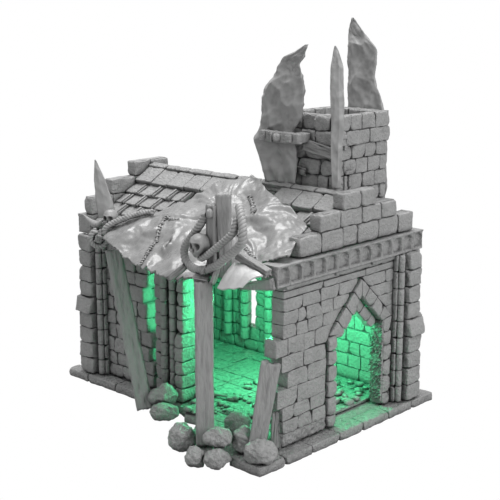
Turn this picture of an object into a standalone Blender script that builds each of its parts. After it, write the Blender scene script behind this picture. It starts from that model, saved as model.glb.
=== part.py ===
"""A ruined gothic chapel for tabletop wargames, with a lift-off roof and a lift-off chimney tower.

All sizes below are millimetres. The row frame has +X along the ridge, -Y towards the broken front,
+Z up, and its origin on the underside of the plinth, at the centre of its 192 x 120 main rectangle.
"""

import math
import random

import bmesh
import bpy
from mathutils import Matrix, Vector, noise

MM = 0.001
GAP = 0.3

# Plinth
BASE_X = 96.0
BASE_Y = 60.0
PORCH_Y = -90.0
PLINTH_H = 5.0
FLOOR_H = 1.5

# Walls
WALL_T = 8.0
RIGHT_X = 87.0
LEFT_X = -86.0
FRONT_Y = -50.0
BACK_Y = 50.0
FOOT_Z = PLINTH_H + GAP
WALL_TOP = 91.7
WALL_HEAD = 94.1
SLIT_FOOT, SLIT_SIDE = 21.6, -30.4
RIB_X = (-53.0, -38.0, -17.0)
FRONT_CORNER_TURN = 43.0
POST_TURN = -42.0
FRIEZE_TOP = 103.0
FRIEZE_OUT = 3.0
NICHES = 12
PIER_NOSE = 11.0
PIER_REACH = 6.4
PIER_RECESS = 3.6
PIER_FOOT_REACH = 9.0
SET_OFF_Z = 47.0
FRONT_SHAFT_X = (-14.6, -7.0)
SHAFT_R = 2.2

# Gables: each step is (half width, top height), about the ridge line
RIDGE_Y = -2.0
GABLE_STEPS = ((49.0, 114.0), (33.0, 123.0), (14.0, 132.0))

# Doorway in the right gable wall: a pointed hood on two legs, and a chevron of voussoirs inside it
DOOR_Y = 0.0
DOOR_HALF = 20.5
DOOR_SPRING = 45.5
DOOR_APEX = 65.5
HOOD_HALF = 28.0
HOOD_SPRING = 57.5
HOOD_APEX = 84.3
HOOD_INNER_SPRING = 54.5
HOOD_INNER_APEX = 74.0
ARCH_BULGE = 1.0

# Roof
RIDGE_Z = 129.0
SLOPE = 0.587
EAVE_RUN = 49.0
ROOF_X0 = LEFT_X + WALL_T + GAP
ROOF_X1 = RIGHT_X - WALL_T - GAP
DECK_T = 3.0
TILE_T = 3.2
RIDGE_HALF = 2.6
SLAB_RUN = 12.0
COURSE_RUN = 8.6

# Rope coil on the canopy log: an open ring, in degrees from its right-hand side
COIL_RADIUS = 4.6
COIL_START = -250.0
COIL_SWEEP = 300.0
COIL_STEPS = 12

# Tower
TOWER_X = (26.0, 66.0)
TOWER_Y = (4.0, 49.5)
TOWER_TOP = 169.0
TOWER_WALL = 6.0
RIM_OUT = 1.2

STONE = ("grey_resin", (0.36, 0.36, 0.36), 0.62)
TIMBER = ("timber_resin", (0.34, 0.34, 0.34), 0.6)
HIDE = ("hide_resin", (0.42, 0.42, 0.42), 0.5)
BONE = ("bone_resin", (0.4, 0.4, 0.4), 0.55)
FLINT = ("flint_resin", (0.33, 0.33, 0.33), 0.5)
ROPE = ("rope_resin", (0.38, 0.38, 0.38), 0.6)

# Maps from a curve's local plane to the model: the outline's two axes, then its extrusion
ACROSS_X = Matrix(((0, 0, 1), (1, 0, 0), (0, 1, 0))).to_4x4()
ACROSS_Y = Matrix(((1, 0, 0), (0, 0, -1), (0, 1, 0))).to_4x4()
ACROSS_Z = Matrix.Identity(4)


def clear_scene():
    for old in list(bpy.data.objects):
        bpy.data.objects.remove(old)
    for old in list(bpy.data.collections):
        bpy.data.collections.remove(old)


def new_collection(name):
    made = bpy.data.collections.new(name)
    bpy.context.scene.collection.children.link(made)
    return made


def material(look):
    name, colour, roughness = look
    found = bpy.data.materials.get(name)
    if found:
        return found
    made = bpy.data.materials.new(name)
    made.use_nodes = True
    shader = made.node_tree.nodes["Principled BSDF"]
    shader.inputs["Base Color"].default_value = (*colour, 1)
    shader.inputs["Roughness"].default_value = roughness
    shader.inputs["Metallic"].default_value = 0
    return made


def add_object(name, mesh, look, collection=None):
    made = bpy.data.objects.new(name, mesh)
    mesh.materials.clear()
    mesh.materials.append(material(look))
    (collection or PARTS).objects.link(made)
    return made


def finish_bmesh(name, shape, look, collection=None):
    """Turns a bmesh in millimetres into an object in metres."""
    bmesh.ops.scale(shape, vec=(MM, MM, MM), verts=shape.verts)
    bmesh.ops.recalc_face_normals(shape, faces=shape.faces)
    mesh = bpy.data.meshes.new(name)
    shape.to_mesh(mesh)
    shape.free()
    return add_object(name, mesh, look, collection)


def soften(target, width):
    edge = target.modifiers.new("worn_edges", "BEVEL")
    edge.width = width * MM
    edge.segments = 1
    edge.limit_method = "ANGLE"
    return target


def smooth(target, degrees=40):
    target.data.shade_smooth()
    target.data.set_sharp_from_angle(angle=math.radians(degrees))
    return target


def block(name, low, high, look, collection=None):
    """A box between two corners."""
    shape = bmesh.new()
    bmesh.ops.create_cube(shape, size=1)
    size = Vector(high) - Vector(low)
    middle = (Vector(high) + Vector(low)) / 2
    bmesh.ops.scale(shape, vec=size, verts=shape.verts)
    bmesh.ops.translate(shape, vec=middle, verts=shape.verts)
    return finish_bmesh(name, shape, look, collection)


def plate(name, outlines, near, far, facing, look, collection=None):
    """Flat outlines extruded from near to far along the facing's own axis. A later outline cuts a hole."""
    curve = bpy.data.curves.new(name, "CURVE")
    curve.dimensions = "2D"
    curve.fill_mode = "BOTH"
    curve.extrude = abs(far - near) / 2 * MM
    for outline in outlines:
        line = curve.splines.new("POLY")
        line.points.add(len(outline) - 1)
        for point, (a, b) in zip(line.points, outline):
            point.co = (a * MM, b * MM, 0, 1)
        line.use_cyclic_u = True
    guide = bpy.data.objects.new(name + "_outline", curve)
    bpy.context.scene.collection.objects.link(guide)
    axis = facing.to_3x3() @ Vector((0, 0, 1))
    sign = 1 if max(axis, key=abs) > 0 else -1
    guide.matrix_world = Matrix.Translation(axis * sign * (near + far) / 2 * MM) @ facing
    return mesh_from(name, guide, look, collection)


def mesh_from(name, guide, look, collection=None):
    """The welded mesh of a curve object, which it replaces."""
    bpy.context.view_layer.update()
    graph = bpy.context.evaluated_depsgraph_get()
    mesh = bpy.data.meshes.new_from_object(guide.evaluated_get(graph))
    mesh.name = name
    shape = bmesh.new()
    shape.from_mesh(mesh)
    bmesh.ops.remove_doubles(shape, verts=shape.verts, dist=0.00001)
    bmesh.ops.transform(shape, matrix=guide.matrix_world, verts=shape.verts)
    bmesh.ops.recalc_face_normals(shape, faces=shape.faces)
    shape.to_mesh(mesh)
    shape.free()
    bpy.data.objects.remove(guide)
    return add_object(name, mesh, look, collection)


def combine(target, tool, operation):
    """A Boolean between a part and a helper, which is kept as a hidden guide."""
    tool.hide_render = True
    tool.display_type = "WIRE"
    step = target.modifiers.new(operation.lower(), "BOOLEAN")
    step.operation = operation
    step.solver = "EXACT"
    step.object = tool
    return target


def cut(target, tool):
    return combine(target, tool, "DIFFERENCE")


def join(target, *tools):
    for tool in tools:
        combine(target, tool, "UNION")
    return target


def pointed_arch(centre, half, foot, spring, apex, steps=3):
    """A gothic arch from its left foot over the apex to its right foot. Each side swells a little."""
    left = []
    for i in range(steps + 1):
        share = i / steps
        swell = ARCH_BULGE * math.sin(math.pi * share)
        left.append((centre - half * (1 - share) - swell, spring + (apex - spring) * share + swell))
    right = [(2 * centre - a, b) for a, b in reversed(left[:-1])]
    return [(centre - half, foot)] + left + right + [(centre + half, foot)]


# ---------------------------------------------------------------- plinth and floor


def make_plinth():
    outline = [
        (-BASE_X, BASE_Y), (-BASE_X, -BASE_Y), (-5, -BASE_Y), (2, -58), (11, -60), (15, -64.5), (23, -63.5),
        (30, -70), (36, -79), (42, -84), (49, -85.5), (50.5, -91), (56, -94.5), (61, -92), (63.5, -88),
        (74.5, -87.5), (74.5, PORCH_Y), (BASE_X, PORCH_Y), (BASE_X, BASE_Y),
    ]
    plinth = plate("foundation_plinth", [outline], 0, PLINTH_H, ACROSS_Z, STONE)
    return soften(plinth, 0.6)


def make_floor():
    """Flagstones of the room and of the open porch in front of it."""
    inside_left = LEFT_X + WALL_T + GAP
    inside_right = RIGHT_X - WALL_T - GAP
    back = BACK_Y - WALL_T - GAP
    front = FRONT_Y + WALL_T + GAP
    outline = [
        (inside_left, back), (inside_left, front), (4, front), (6, -55), (18, -60), (34, -70), (77.5, -72),
        (77.5, -45), (inside_right, -45), (inside_right, back),
    ]
    floor = plate("flagstone_floor", [outline], FOOT_Z, FOOT_Z + FLOOR_H, ACROSS_Z, STONE)
    for i, x in enumerate(range(-60, 80, 20)):
        slot = block(f"joint_x_{i}", (x, -80, FOOT_Z + 1), (x + 0.7, 60, 10), STONE, CUTTERS)
        cut(floor, slot)
    return floor


# ---------------------------------------------------------------- walls


def make_right_wall():
    """The gable wall with the doorway. Its porch end is broken off in steps."""
    door = pointed_arch(DOOR_Y, HOOD_HALF, FOOT_Z, HOOD_SPRING, HOOD_APEX)
    broken_end = [
        (-63, WALL_TOP), (-63, 63.3), (-68.5, 63.3), (-68.5, 54.2), (-64, 54.2), (-64, 45.6), (-59.5, 45.6),
        (-59.5, 36.4), (-67.4, 36.4), (-67.4, 26.8), (-63.5, 26.8), (-63.5, FOOT_Z),
    ]
    outline = [(BACK_Y, FOOT_Z), (BACK_Y, WALL_TOP)] + broken_end + door
    wall = plate("right_gable_wall", [outline], RIGHT_X - WALL_T, RIGHT_X, ACROSS_X, STONE)
    return soften(wall, 0.4)


def make_door_surround():
    """The hood arch that lines the opening, and the chevron of voussoirs set back inside it."""
    face = RIGHT_X - WALL_T + GAP
    outer = pointed_arch(DOOR_Y, HOOD_HALF - GAP, FOOT_Z, HOOD_SPRING, HOOD_APEX - GAP)
    inner = pointed_arch(DOOR_Y, DOOR_HALF, FOOT_Z, HOOD_INNER_SPRING, HOOD_INNER_APEX)
    plate("door_hood", [outer + inner[::-1]], face, RIGHT_X + 1.4, ACROSS_X, STONE)
    half = DOOR_HALF - GAP
    over = pointed_arch(DOOR_Y, half, DOOR_SPRING, HOOD_INNER_SPRING - GAP, HOOD_INNER_APEX - GAP)
    under = pointed_arch(DOOR_Y, half - 0.4, DOOR_SPRING - 0.5, DOOR_SPRING, DOOR_APEX)[1:-1]
    plate("door_arch", [over + under[::-1]], face, RIGHT_X - 2.2, ACROSS_X, STONE)


def make_left_wall():
    outline = [(BACK_Y, FOOT_Z), (BACK_Y, WALL_TOP), (FRONT_Y, WALL_TOP), (FRONT_Y, FOOT_Z)]
    wall = plate("left_gable_wall", [outline], LEFT_X, LEFT_X + WALL_T, ACROSS_X, STONE)
    return soften(wall, 0.4)


def make_back_wall():
    """The long back wall between the gables, with a rebated window slit and round-fronted ribs inside."""
    low_x = LEFT_X + WALL_T + GAP
    high_x = RIGHT_X - WALL_T - GAP
    outline = [(low_x, FOOT_Z), (low_x, WALL_HEAD), (high_x, WALL_HEAD), (high_x, FOOT_Z)]
    slit = [(-36.5, SLIT_FOOT), (-36.5, 70), (-33, 76), (SLIT_SIDE, 70), (SLIT_SIDE, SLIT_FOOT)]
    wall = plate("back_wall", [outline, slit], BACK_Y - WALL_T, BACK_Y, ACROSS_Y, STONE)
    rebate_low = (-41.5, BACK_Y - WALL_T / 2, SLIT_FOOT)
    cut(wall, block("window_rebate", rebate_low, (SLIT_SIDE, BACK_Y + 1, 70), STONE, CUTTERS))
    inner = BACK_Y - WALL_T
    for x in RIB_X:
        fan = [math.pi * (1 + i / 5) for i in range(6)]
        section = [(x - 3, inner + 1), (x + 3, inner + 1)]
        section += [(x - 3 * math.cos(a), inner - 2 + 3 * math.sin(a)) for a in fan]
        foot = FOOT_Z + FLOOR_H + GAP
        rib = plate(f"back_rib_{x:.0f}", [section], foot, WALL_TOP - 6, ACROSS_Z, STONE, CUTTERS)
        join(wall, rib)
    return wall


def make_front_stub():
    """What is left of the front wall, beside the left corner. Its free end is broken in steps."""
    low_x = LEFT_X + WALL_T + GAP
    broken = [
        (-27, FOOT_Z), (-27, 21), (-30, 21), (-30, 30), (-28, 30), (-28, 39), (-32, 39), (-32, 56), (-35, 56),
        (-35, 66), (-31, 66), (-31, 82), (-34, 82), (-34, WALL_HEAD),
    ]
    outline = [(low_x, WALL_HEAD), (low_x, FOOT_Z)] + broken
    wall = plate("front_wall_stub", [outline], FRONT_Y, FRONT_Y + WALL_T, ACROSS_Y, STONE)
    return soften(wall, 0.4)


def pier_section():
    """Plan of a corner pier, from its nose at the corner: a recess, a round shaft, then a narrow fillet."""
    shaft = PIER_NOSE + 4.8
    arc = [
        (shaft + 1.9 * math.cos(a), PIER_RECESS + 0.6 + 1.9 * math.sin(a))
        for a in (math.pi * 0.95, math.pi * 0.7, math.pi * 0.5, math.pi * 0.3, math.pi * 0.05)
    ]
    nose = [(0, 0), (0, PIER_REACH), (PIER_NOSE, PIER_REACH), (PIER_NOSE, PIER_RECESS)]
    fillet = PIER_RECESS - 0.6
    end = [(shaft + 1.9, fillet), (shaft + 3.1, fillet), (shaft + 3.1, 0)]
    return nose + [(shaft - 1.9, PIER_RECESS)] + arc + end


def make_corner_pier(name, x, y, turn, mirrored):
    """A buttress at a wall's corner. Below mid height its nose steps out over a sloped set-off."""
    pier = plate(name, [pier_section()], FOOT_Z, WALL_TOP, ACROSS_Z, STONE)
    side = [
        (GAP, FOOT_Z), (GAP, SET_OFF_Z + 5), (PIER_REACH - 0.2, SET_OFF_Z + 5), (PIER_FOOT_REACH, SET_OFF_Z),
        (PIER_FOOT_REACH, FOOT_Z),
    ]
    foot = plate(name + "_set_off", [side], -0.6, PIER_NOSE + 1.4, ACROSS_X, STONE, CUTTERS)
    flip = Matrix.Scale(-1, 4, (1, 0, 0)) if mirrored else Matrix.Identity(4)
    place = Matrix.Translation((x * MM, y * MM, 0)) @ Matrix.Rotation(math.radians(turn), 4, "Z") @ flip
    for piece in (pier, foot):
        piece.data.transform(place)
        if mirrored:
            piece.data.flip_normals()
    return join(pier, foot)


def make_corner_piers():
    """Each stands just clear of its wall, with its nose at the building's corner."""
    low_x, high_x = LEFT_X + 1.0, RIGHT_X - 1.0
    make_corner_pier("pier_front_left", low_x, FRONT_Y - GAP, 180, True)
    make_corner_pier("pier_back_left", low_x, BACK_Y + GAP, 0, False)
    make_corner_pier("pier_back_right", high_x, BACK_Y + GAP, 0, True)
    make_corner_pier("pier_right_back", RIGHT_X + GAP, BACK_Y - 2.4, -90, False)


def make_front_pier():
    """The clustered pier that ends the broken front wall: a nose between two round shafts."""
    points = [(-24, -42), (-24, -49.5)]
    for x in FRONT_SHAFT_X:
        points.append((x - SHAFT_R - 0.8, -49.8))
        points += [
            (x + SHAFT_R * math.cos(a), -51.5 + SHAFT_R * math.sin(a))
            for a in (3.3, 3.9, 4.71, 5.5, 6.1)
        ]
        points.append((x + SHAFT_R + 0.6, -50.1))
    points += [(-2.6, -49.9), (-2.6, -53), (2.4, -53), (2.4, -42)]
    pier = plate("front_pier", [points], FOOT_Z, WALL_HEAD, ACROSS_Z, STONE)
    step = SET_OFF_Z + 5
    side = [(-43, FOOT_Z), (-43, step), (-52.6, step), (-55, SET_OFF_Z), (-55, FOOT_Z)]
    foot = plate("front_pier_set_off", [side], -3.4, 3.2, ACROSS_X, STONE, CUTTERS)
    return join(pier, foot)


# ---------------------------------------------------------------- friezes and gables


def niche(centre, half, foot, spring):
    points = [(centre - half, foot), (centre - half, spring)]
    points += [
        (centre + half * math.cos(a), spring + half * math.sin(a))
        for a in (2.4, math.pi / 2, 0.75)
    ]
    return points + [(centre + half, spring), (centre + half, foot)]


def make_frieze(name, inner_x, outer_x, front_y, back_y):
    """A blind arcade: one stone band with a row of shallow arched niches in its outer face."""
    low_x, high_x = sorted((inner_x, outer_x))
    band = block(name, (low_x, front_y, WALL_TOP + GAP), (high_x, back_y, FRIEZE_TOP), STONE)
    pitch = (back_y - front_y) / NICHES
    outlines = [
        niche(front_y + pitch * (i + 0.5), pitch * 0.3, WALL_TOP + 3.2, FRIEZE_TOP - 4.4)
        for i in range(NICHES)
    ]
    outward = 1 if outer_x > inner_x else -1
    near = outer_x - outward * 0.9
    far = outer_x + outward * 2
    tool = plate(name + "_niches", outlines, near, far, ACROSS_X, STONE, CUTTERS)
    return cut(band, tool)


def stepped_gable(name, near, far):
    """A crow-stepped parapet, symmetric about the ridge line."""
    foot = FRIEZE_TOP + GAP
    left = []
    for half, top in GABLE_STEPS:
        bottom = left[-1][1] if left else foot
        left += [(RIDGE_Y - half, bottom), (RIDGE_Y - half, top)]
    right = [(2 * RIDGE_Y - y, z) for y, z in reversed(left)]
    gable = plate(name, [left + right], near, far, ACROSS_X, STONE)
    return soften(gable, 0.5)


def make_gables():
    make_frieze("right_frieze", RIGHT_X - WALL_T, RIGHT_X + FRIEZE_OUT, -70.8, BACK_Y + FRIEZE_OUT)
    stepped_gable("right_gable_parapet", RIGHT_X - WALL_T, RIGHT_X)
    parapet = stepped_gable("left_gable_parapet", LEFT_X, LEFT_X + WALL_T)
    band = (LEFT_X - FRIEZE_OUT, FRONT_Y - FRIEZE_OUT, WALL_TOP + GAP)
    band_top = (LEFT_X + WALL_T, BACK_Y + FRIEZE_OUT, FRIEZE_TOP + GAP + 0.1)
    join(parapet, block("left_frieze_band", band, band_top, STONE, CUTTERS))


# ---------------------------------------------------------------- timbers


def timber(name, foot, head, width, depth, turn=0.0, seed=1, rough=0.35, cuts=3, taper=1.0):
    """A hewn beam between the centres of its two ends, with a little unevenness along it."""
    shape = bmesh.new()
    bmesh.ops.create_cube(shape, size=1)
    along = [e for e in shape.edges if abs(e.verts[0].co.z - e.verts[1].co.z) > 0.5]
    bmesh.ops.subdivide_edges(shape, edges=along, cuts=cuts)
    length = (Vector(head) - Vector(foot)).length
    dice = random.Random(seed)
    for v in shape.verts:
        share = 1 + (taper - 1) * (v.co.z + 0.5)
        v.co.x = v.co.x * width * share + dice.uniform(-rough, rough)
        v.co.y = v.co.y * depth * share + dice.uniform(-rough, rough)
        v.co.z = v.co.z * length
    axis = Vector(head) - Vector(foot)
    place = Matrix.Translation((Vector(head) + Vector(foot)) / 2)
    place = place @ axis.to_track_quat("Z", "Y").to_matrix().to_4x4()
    place = place @ Matrix.Rotation(math.radians(turn), 4, "Z")
    bmesh.ops.transform(shape, matrix=place, verts=shape.verts)
    return finish_bmesh(name, shape, TIMBER)


def make_base_timbers():
    """Posts and props that hold up the broken front. The awning rests just above their heads."""
    timber("leaning_post", (-12.9, -68.8, 2.0), (-38.0, -68.6, 91.5), 8.7, 7.0, turn=POST_TURN, seed=11, cuts=4)
    timber("centre_post", (55, -87.6, 5.8), (55, -87.6, 93.5), 7.0, 9.4, turn=POST_TURN, seed=12, cuts=4)
    timber(
        "short_prop", (85.6, -78.5, 6.4), (84.5, -69.0, 52.6), 8.6, 4.0,
        turn=FRONT_CORNER_TURN, seed=13, taper=1.18,
    )
    timber("prop_offcut", (85.9, -67.4, 5.8), (85.7, -67.2, 25.6), 5.0, 2.6, seed=14, cuts=2, rough=0.2)
    timber(
        "lintel_plank", (89.2, -73.4, 94.8), (70.8, -77.6, 91.2), 2.6, 6.4,
        seed=15, cuts=2, rough=0.2, taper=0.55,
    )


# ---------------------------------------------------------------- rubble


def rock(name, centre, size, seed, floor_z, detail=2, rough=0.22):
    """A worn boulder: a sphere pushed about by smooth noise and flattened where it rests."""
    shape = bmesh.new()
    bmesh.ops.create_icosphere(shape, subdivisions=detail, radius=0.5)
    offset = Vector((seed * 7.31, seed * 3.17, seed * 1.93))
    spin = Matrix.Rotation(math.radians(FRONT_CORNER_TURN), 3, "Z")
    for v in shape.verts:
        bump = noise.noise(v.co * 2.6 + offset)
        v.co *= 1 + rough * bump
        v.co = spin @ Vector((v.co.x * size[0], v.co.y * size[1], v.co.z * size[2])) + Vector(centre)
        v.co.z = max(v.co.z, floor_z)
    return finish_bmesh(name, shape, STONE)


def make_boulders():
    """Fallen stones along the broken front edge. Each is (centre, size, resting height)."""
    stones = (
        ((-2.6, -64.5, 11.6), (15.5, 9.0, 11.5), FOOT_Z),
        ((3.4, -69.4, 4.8), (14.5, 9.0, 8.6), GAP),
        ((42.6, -92.8, 7.6), (13.0, 9.5, 14.2), GAP),
        ((67.6, -89.8, 13.2), (13.4, 9.0, 9.6), FOOT_Z),
        ((58.7, -66.9, 13.0), (13.0, 11.0, 12.0), FOOT_Z + FLOOR_H + GAP),
        ((75.2, -79.4, 11.4), (9.2, 8.0, 12.4), FOOT_Z),
        ((91.4, -84.6, 10.8), (15.6, 9.0, 11.4), FOOT_Z),
        ((62.2, -101.2, 4.7), (8.8, 8.6, 8.8), GAP),
        ((72.2, -96.4, 4.8), (11.8, 8.6, 8.8), GAP),
    )
    for number, (centre, size, rest) in enumerate(stones, 1):
        rock(f"boulder_{number}", centre, size, seed=number, floor_z=rest)


def make_remains():
    """A long bone on the floor of the room."""
    level = FOOT_Z + FLOOR_H + GAP
    bone("floor_bone", (10, -38, level + 1.6), (27, -33, level + 1.6), 1.1)


def bone(name, start, end, radius):
    """A long bone: a thin shaft that swells at both ends."""
    middle_shares = (0, 0.08, 0.2, 0.5, 0.8, 0.92, 1)
    swell = (0.6, 1.5, 0.9, 0.75, 0.9, 1.5, 0.6)
    points = [Vector(start).lerp(Vector(end), share) for share in middle_shares]
    return tube(name, points, radius, BONE, swell)


def tube(name, points, radius, look, widths=None, resolution=2):
    """A round strand through the points, with closed ends."""
    curve = bpy.data.curves.new(name, "CURVE")
    curve.dimensions = "3D"
    curve.bevel_depth = radius * MM
    curve.bevel_resolution = resolution
    curve.use_fill_caps = True
    line = curve.splines.new("POLY")
    line.points.add(len(points) - 1)
    for i, (point, place) in enumerate(zip(line.points, points)):
        point.co = (*(Vector(place) * MM), 1)
        point.radius = widths[i] if widths else 1
    guide = bpy.data.objects.new(name + "_path", curve)
    bpy.context.scene.collection.objects.link(guide)
    return smooth(mesh_from(name, guide, look))


# ---------------------------------------------------------------- roof


def slope_point(run, lift, side):
    """A point on a roof slope: run is the level distance from the ridge, lift is square to the slope."""
    length = math.hypot(1, SLOPE)
    y = RIDGE_Y + side * (run + lift * SLOPE / length)
    z = RIDGE_Z - SLOPE * run + lift / length
    return (y, z)


def slope_strip(name, x0, x1, runs, lifts, side):
    """A strip of roofing along x with a parallel-sided section between two runs."""
    outline = [
        slope_point(runs[0], lifts[0], side), slope_point(runs[1], lifts[0], side),
        slope_point(runs[1], lifts[1], side), slope_point(runs[0], lifts[1], side),
    ]
    strip = plate(name, [outline], x0, x1, ACROSS_X, STONE)
    return soften(strip, 0.35)


def make_deck():
    """The folded board that carries all the roofing."""
    under = -TILE_T - GAP - DECK_T
    over = -TILE_T - GAP
    left = [slope_point(EAVE_RUN, over, -1), slope_point(EAVE_RUN, under, -1)]
    ridge_under = (RIDGE_Y, RIDGE_Z + under * math.hypot(1, SLOPE))
    ridge_over = (RIDGE_Y, RIDGE_Z + over * math.hypot(1, SLOPE))
    right = [slope_point(EAVE_RUN, under, 1), slope_point(EAVE_RUN, over, 1)]
    outline = left + [ridge_under] + right + [ridge_over]
    return plate("roof_deck", [outline], ROOF_X0 + 0.2, ROOF_X1 - 0.2, ACROSS_X, TIMBER)


def slab_row(name, x0, x1, side):
    """The top course: long slabs just below the ridge caps."""
    return slope_strip(name, x0, x1, (RIDGE_HALF, RIDGE_HALF + SLAB_RUN), (-TILE_T, 0.6), side)


def tile_steps(name, x0, x1, side, courses):
    """Overlapping tile courses as one stepped strip. Each course tips up towards its lower edge."""
    run = RIDGE_HALF + SLAB_RUN + GAP
    top = []
    for number in range(courses):
        end = min(run + COURSE_RUN, EAVE_RUN)
        top += [slope_point(run, -2.6, side), slope_point(end, -0.4, side)]
        run = end
    foot = [slope_point(run, -TILE_T, side), slope_point(RIDGE_HALF + SLAB_RUN + GAP, -TILE_T, side)]
    return plate(name, [top + foot], x0, x1, ACROSS_X, STONE)


def make_roofing():
    left, right = ROOF_X0 + GAP, ROOF_X1 - GAP
    behind_tower = TOWER_X[0] - 2 * GAP
    slab_row("ridge_slabs_front_left", left, -5.0, -1)
    slab_row("ridge_slabs_front_right", 34.0, right, -1)
    slab_row("ridge_slabs_back", left, behind_tower, 1)
    tile_steps("tiles_front_left", left, -26.0, -1, 4)
    tile_steps("tiles_front_right", 56.0, right, -1, 2)
    tile_steps("tiles_back", left, behind_tower, 1, 4)


def make_ridge_caps():
    """Angled cap stones that cover the ridge joint."""
    joints = (ROOF_X0 + GAP, -42.0, 16.0, ROOF_X1 - GAP)
    half = RIDGE_HALF - GAP
    side = [(0.6, RIDGE_Z - 3.7), (half, RIDGE_Z - 1.0), (half, RIDGE_Z + 0.1)]
    outline = [(RIDGE_Y + a, z) for a, z in side] + [(RIDGE_Y, RIDGE_Z + 1.6)]
    outline += [(RIDGE_Y - a, z) for a, z in reversed(side)]
    for number, (x0, x1) in enumerate(zip(joints, joints[1:]), 1):
        cap = plate(f"ridge_cap_{number}", [outline], x0 + GAP / 2, x1 - GAP / 2, ACROSS_X, STONE)
        soften(cap, 0.4)


# ---------------------------------------------------------------- hide canopy and its dressing


def drape(name, top, bottom, sag, cells=(8, 8), thick=1.6):
    """A hanging sheet between two lines of points, bellied by sag, with a real thickness."""
    across, down = cells
    shape = bmesh.new()
    bmesh.ops.create_grid(shape, x_segments=across, y_segments=down, size=0.5)

    def along(line, share):
        place = share * (len(line) - 1)
        i = min(int(place), len(line) - 2)
        return Vector(line[i]).lerp(Vector(line[i + 1]), place - i)

    for v in shape.verts:
        u, w = v.co.x + 0.5, v.co.y + 0.5
        point = along(top, u).lerp(along(bottom, u), 1 - w)
        point.z += sag * math.sin(math.pi * (1 - w))
        v.co = point
    sheet = finish_bmesh(name, shape, HIDE)
    skin = sheet.modifiers.new("thickness", "SOLIDIFY")
    skin.thickness = thick * MM
    skin.offset = 0
    return smooth(sheet, 60)


def make_canopy():
    """Three hides sewn into one awning from the ridge to the front posts, and a flap below it."""
    drape(
        "hide_left",
        [(-43, -62, 103.5), (-36, -53.5, 107.5), (-24, -47, 111), (-14, -35, 117), (-8, -22, 124.5)],
        [(-40, -71, 97), (-29, -76, 95.5), (-12, -82, 93), (6, -86, 91.8), (24, -88.5, 91.2)],
        sag=1.5,
    )
    drape(
        "hide_middle",
        [(-6.0, -21, 125), (2, -12, 130), (12, -9, 132), (20, -10, 131)],
        [(26, -88.5, 91.6), (34, -82, 95), (41, -74, 99), (48, -64, 104)],
        sag=1.0,
    )
    drape(
        "hide_right",
        [(22, -11, 130.5), (34, -18, 127.2), (48, -25, 123.2), (62, -31.5, 119.2), (74.5, -41, 113.4)],
        [(49.5, -63, 105), (58, -66, 104), (67, -67, 104.2), (75.5, -65, 104.6), (81.5, -60, 105)],
        sag=1.5,
    )
    drape(
        "hide_flap",
        [(66.4, -77.4, 98.2), (76.0, -79.0, 98.2), (85.2, -80.6, 96.8)],
        [(66.4, -89.2, 91.6), (73.5, -88.2, 92.4), (80.6, -86.6, 93.6)],
        sag=0.8,
        cells=(4, 4),
        thick=1.0,
    )


def skull(name, centre, size, turn):
    """A generic skull: a rounded cranium joined to a narrower jaw, with two hollow eyes."""
    cranium = bmesh.new()
    bmesh.ops.create_uvsphere(cranium, u_segments=12, v_segments=8, radius=0.5)
    bmesh.ops.scale(cranium, vec=(size * 0.85, size, size * 0.85), verts=cranium.verts)
    head = finish_bmesh(name, cranium, BONE)
    jaw_low = (-size * 0.24, -size * 0.5, -size * 0.62)
    jaw = block(name + "_jaw", jaw_low, (size * 0.24, 0, -size * 0.1), BONE, CUTTERS)
    join(head, jaw)
    place = Matrix.Translation(Vector(centre) * MM) @ Matrix.Rotation(math.radians(turn), 4, "Z")
    for side, label in ((-1, "left"), (1, "right")):
        socket = bmesh.new()
        bmesh.ops.create_uvsphere(socket, u_segments=8, v_segments=6, radius=size * 0.13)
        bmesh.ops.translate(socket, vec=(side * size * 0.19, -size * 0.46, -size * 0.06), verts=socket.verts)
        tool = finish_bmesh(f"{name}_{label}_socket", socket, BONE, CUTTERS)
        cut(head, tool)
        tool.matrix_world = place
    head.matrix_world = place
    jaw.matrix_world = place
    return smooth(head)


def make_dressing():
    """Timbers, ropes, skulls and horns lashed to the awning. They lift off with the roof."""
    timber(
        "lashed_mast", (61.2, -79.6, 99.5), (58.6, -79.8, 134), 9.6, 6.6,
        turn=POST_TURN, seed=31, rough=0.25, taper=1.2,
    )
    timber("fallen_beam", (68.2, -76.2, 106.6), (88.3, -75.6, 100.2), 4.4, 4.6, seed=32, cuts=2, rough=0.2)
    timber(
        "broken_purlin", (42.0, -87.6, 98.6), (34.2, -91.5, 91.2), 4.0, 3.4,
        turn=10, seed=33, cuts=2, rough=0.2,
    )
    skull("skull_left", (-49.6, -60.2, 107.6), 9.4, 11)
    skull("skull_mast", (52.6, -88.0, 112.0), 10.4, -5)
    stake = [
        (-57.6, -56.0, 105.2, 5.2), (-59, -56.4, 114, 5.0), (-62.0, -57.2, 127, 3.4),
        (-65.4, -57.4, 139, 0.5),
    ]
    blade("left_stake", stake, 0.34, FRONT_CORNER_TURN)
    horn = [(-51.5, -68.3, 103.4), (-55.4, -68.3, 104.4), (-60, -68.3, 106.0), (-64.5, -68.3, 108.2)]
    tube("horn", horn, 2.1, BONE, (1.1, 1, 0.75, 0.15))
    tube("canopy_log", [(-45.9, -72.4, 96.8), (-55.4, -62.2, 97.3)], 2.5, TIMBER, None, 3)
    ropes()


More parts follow.
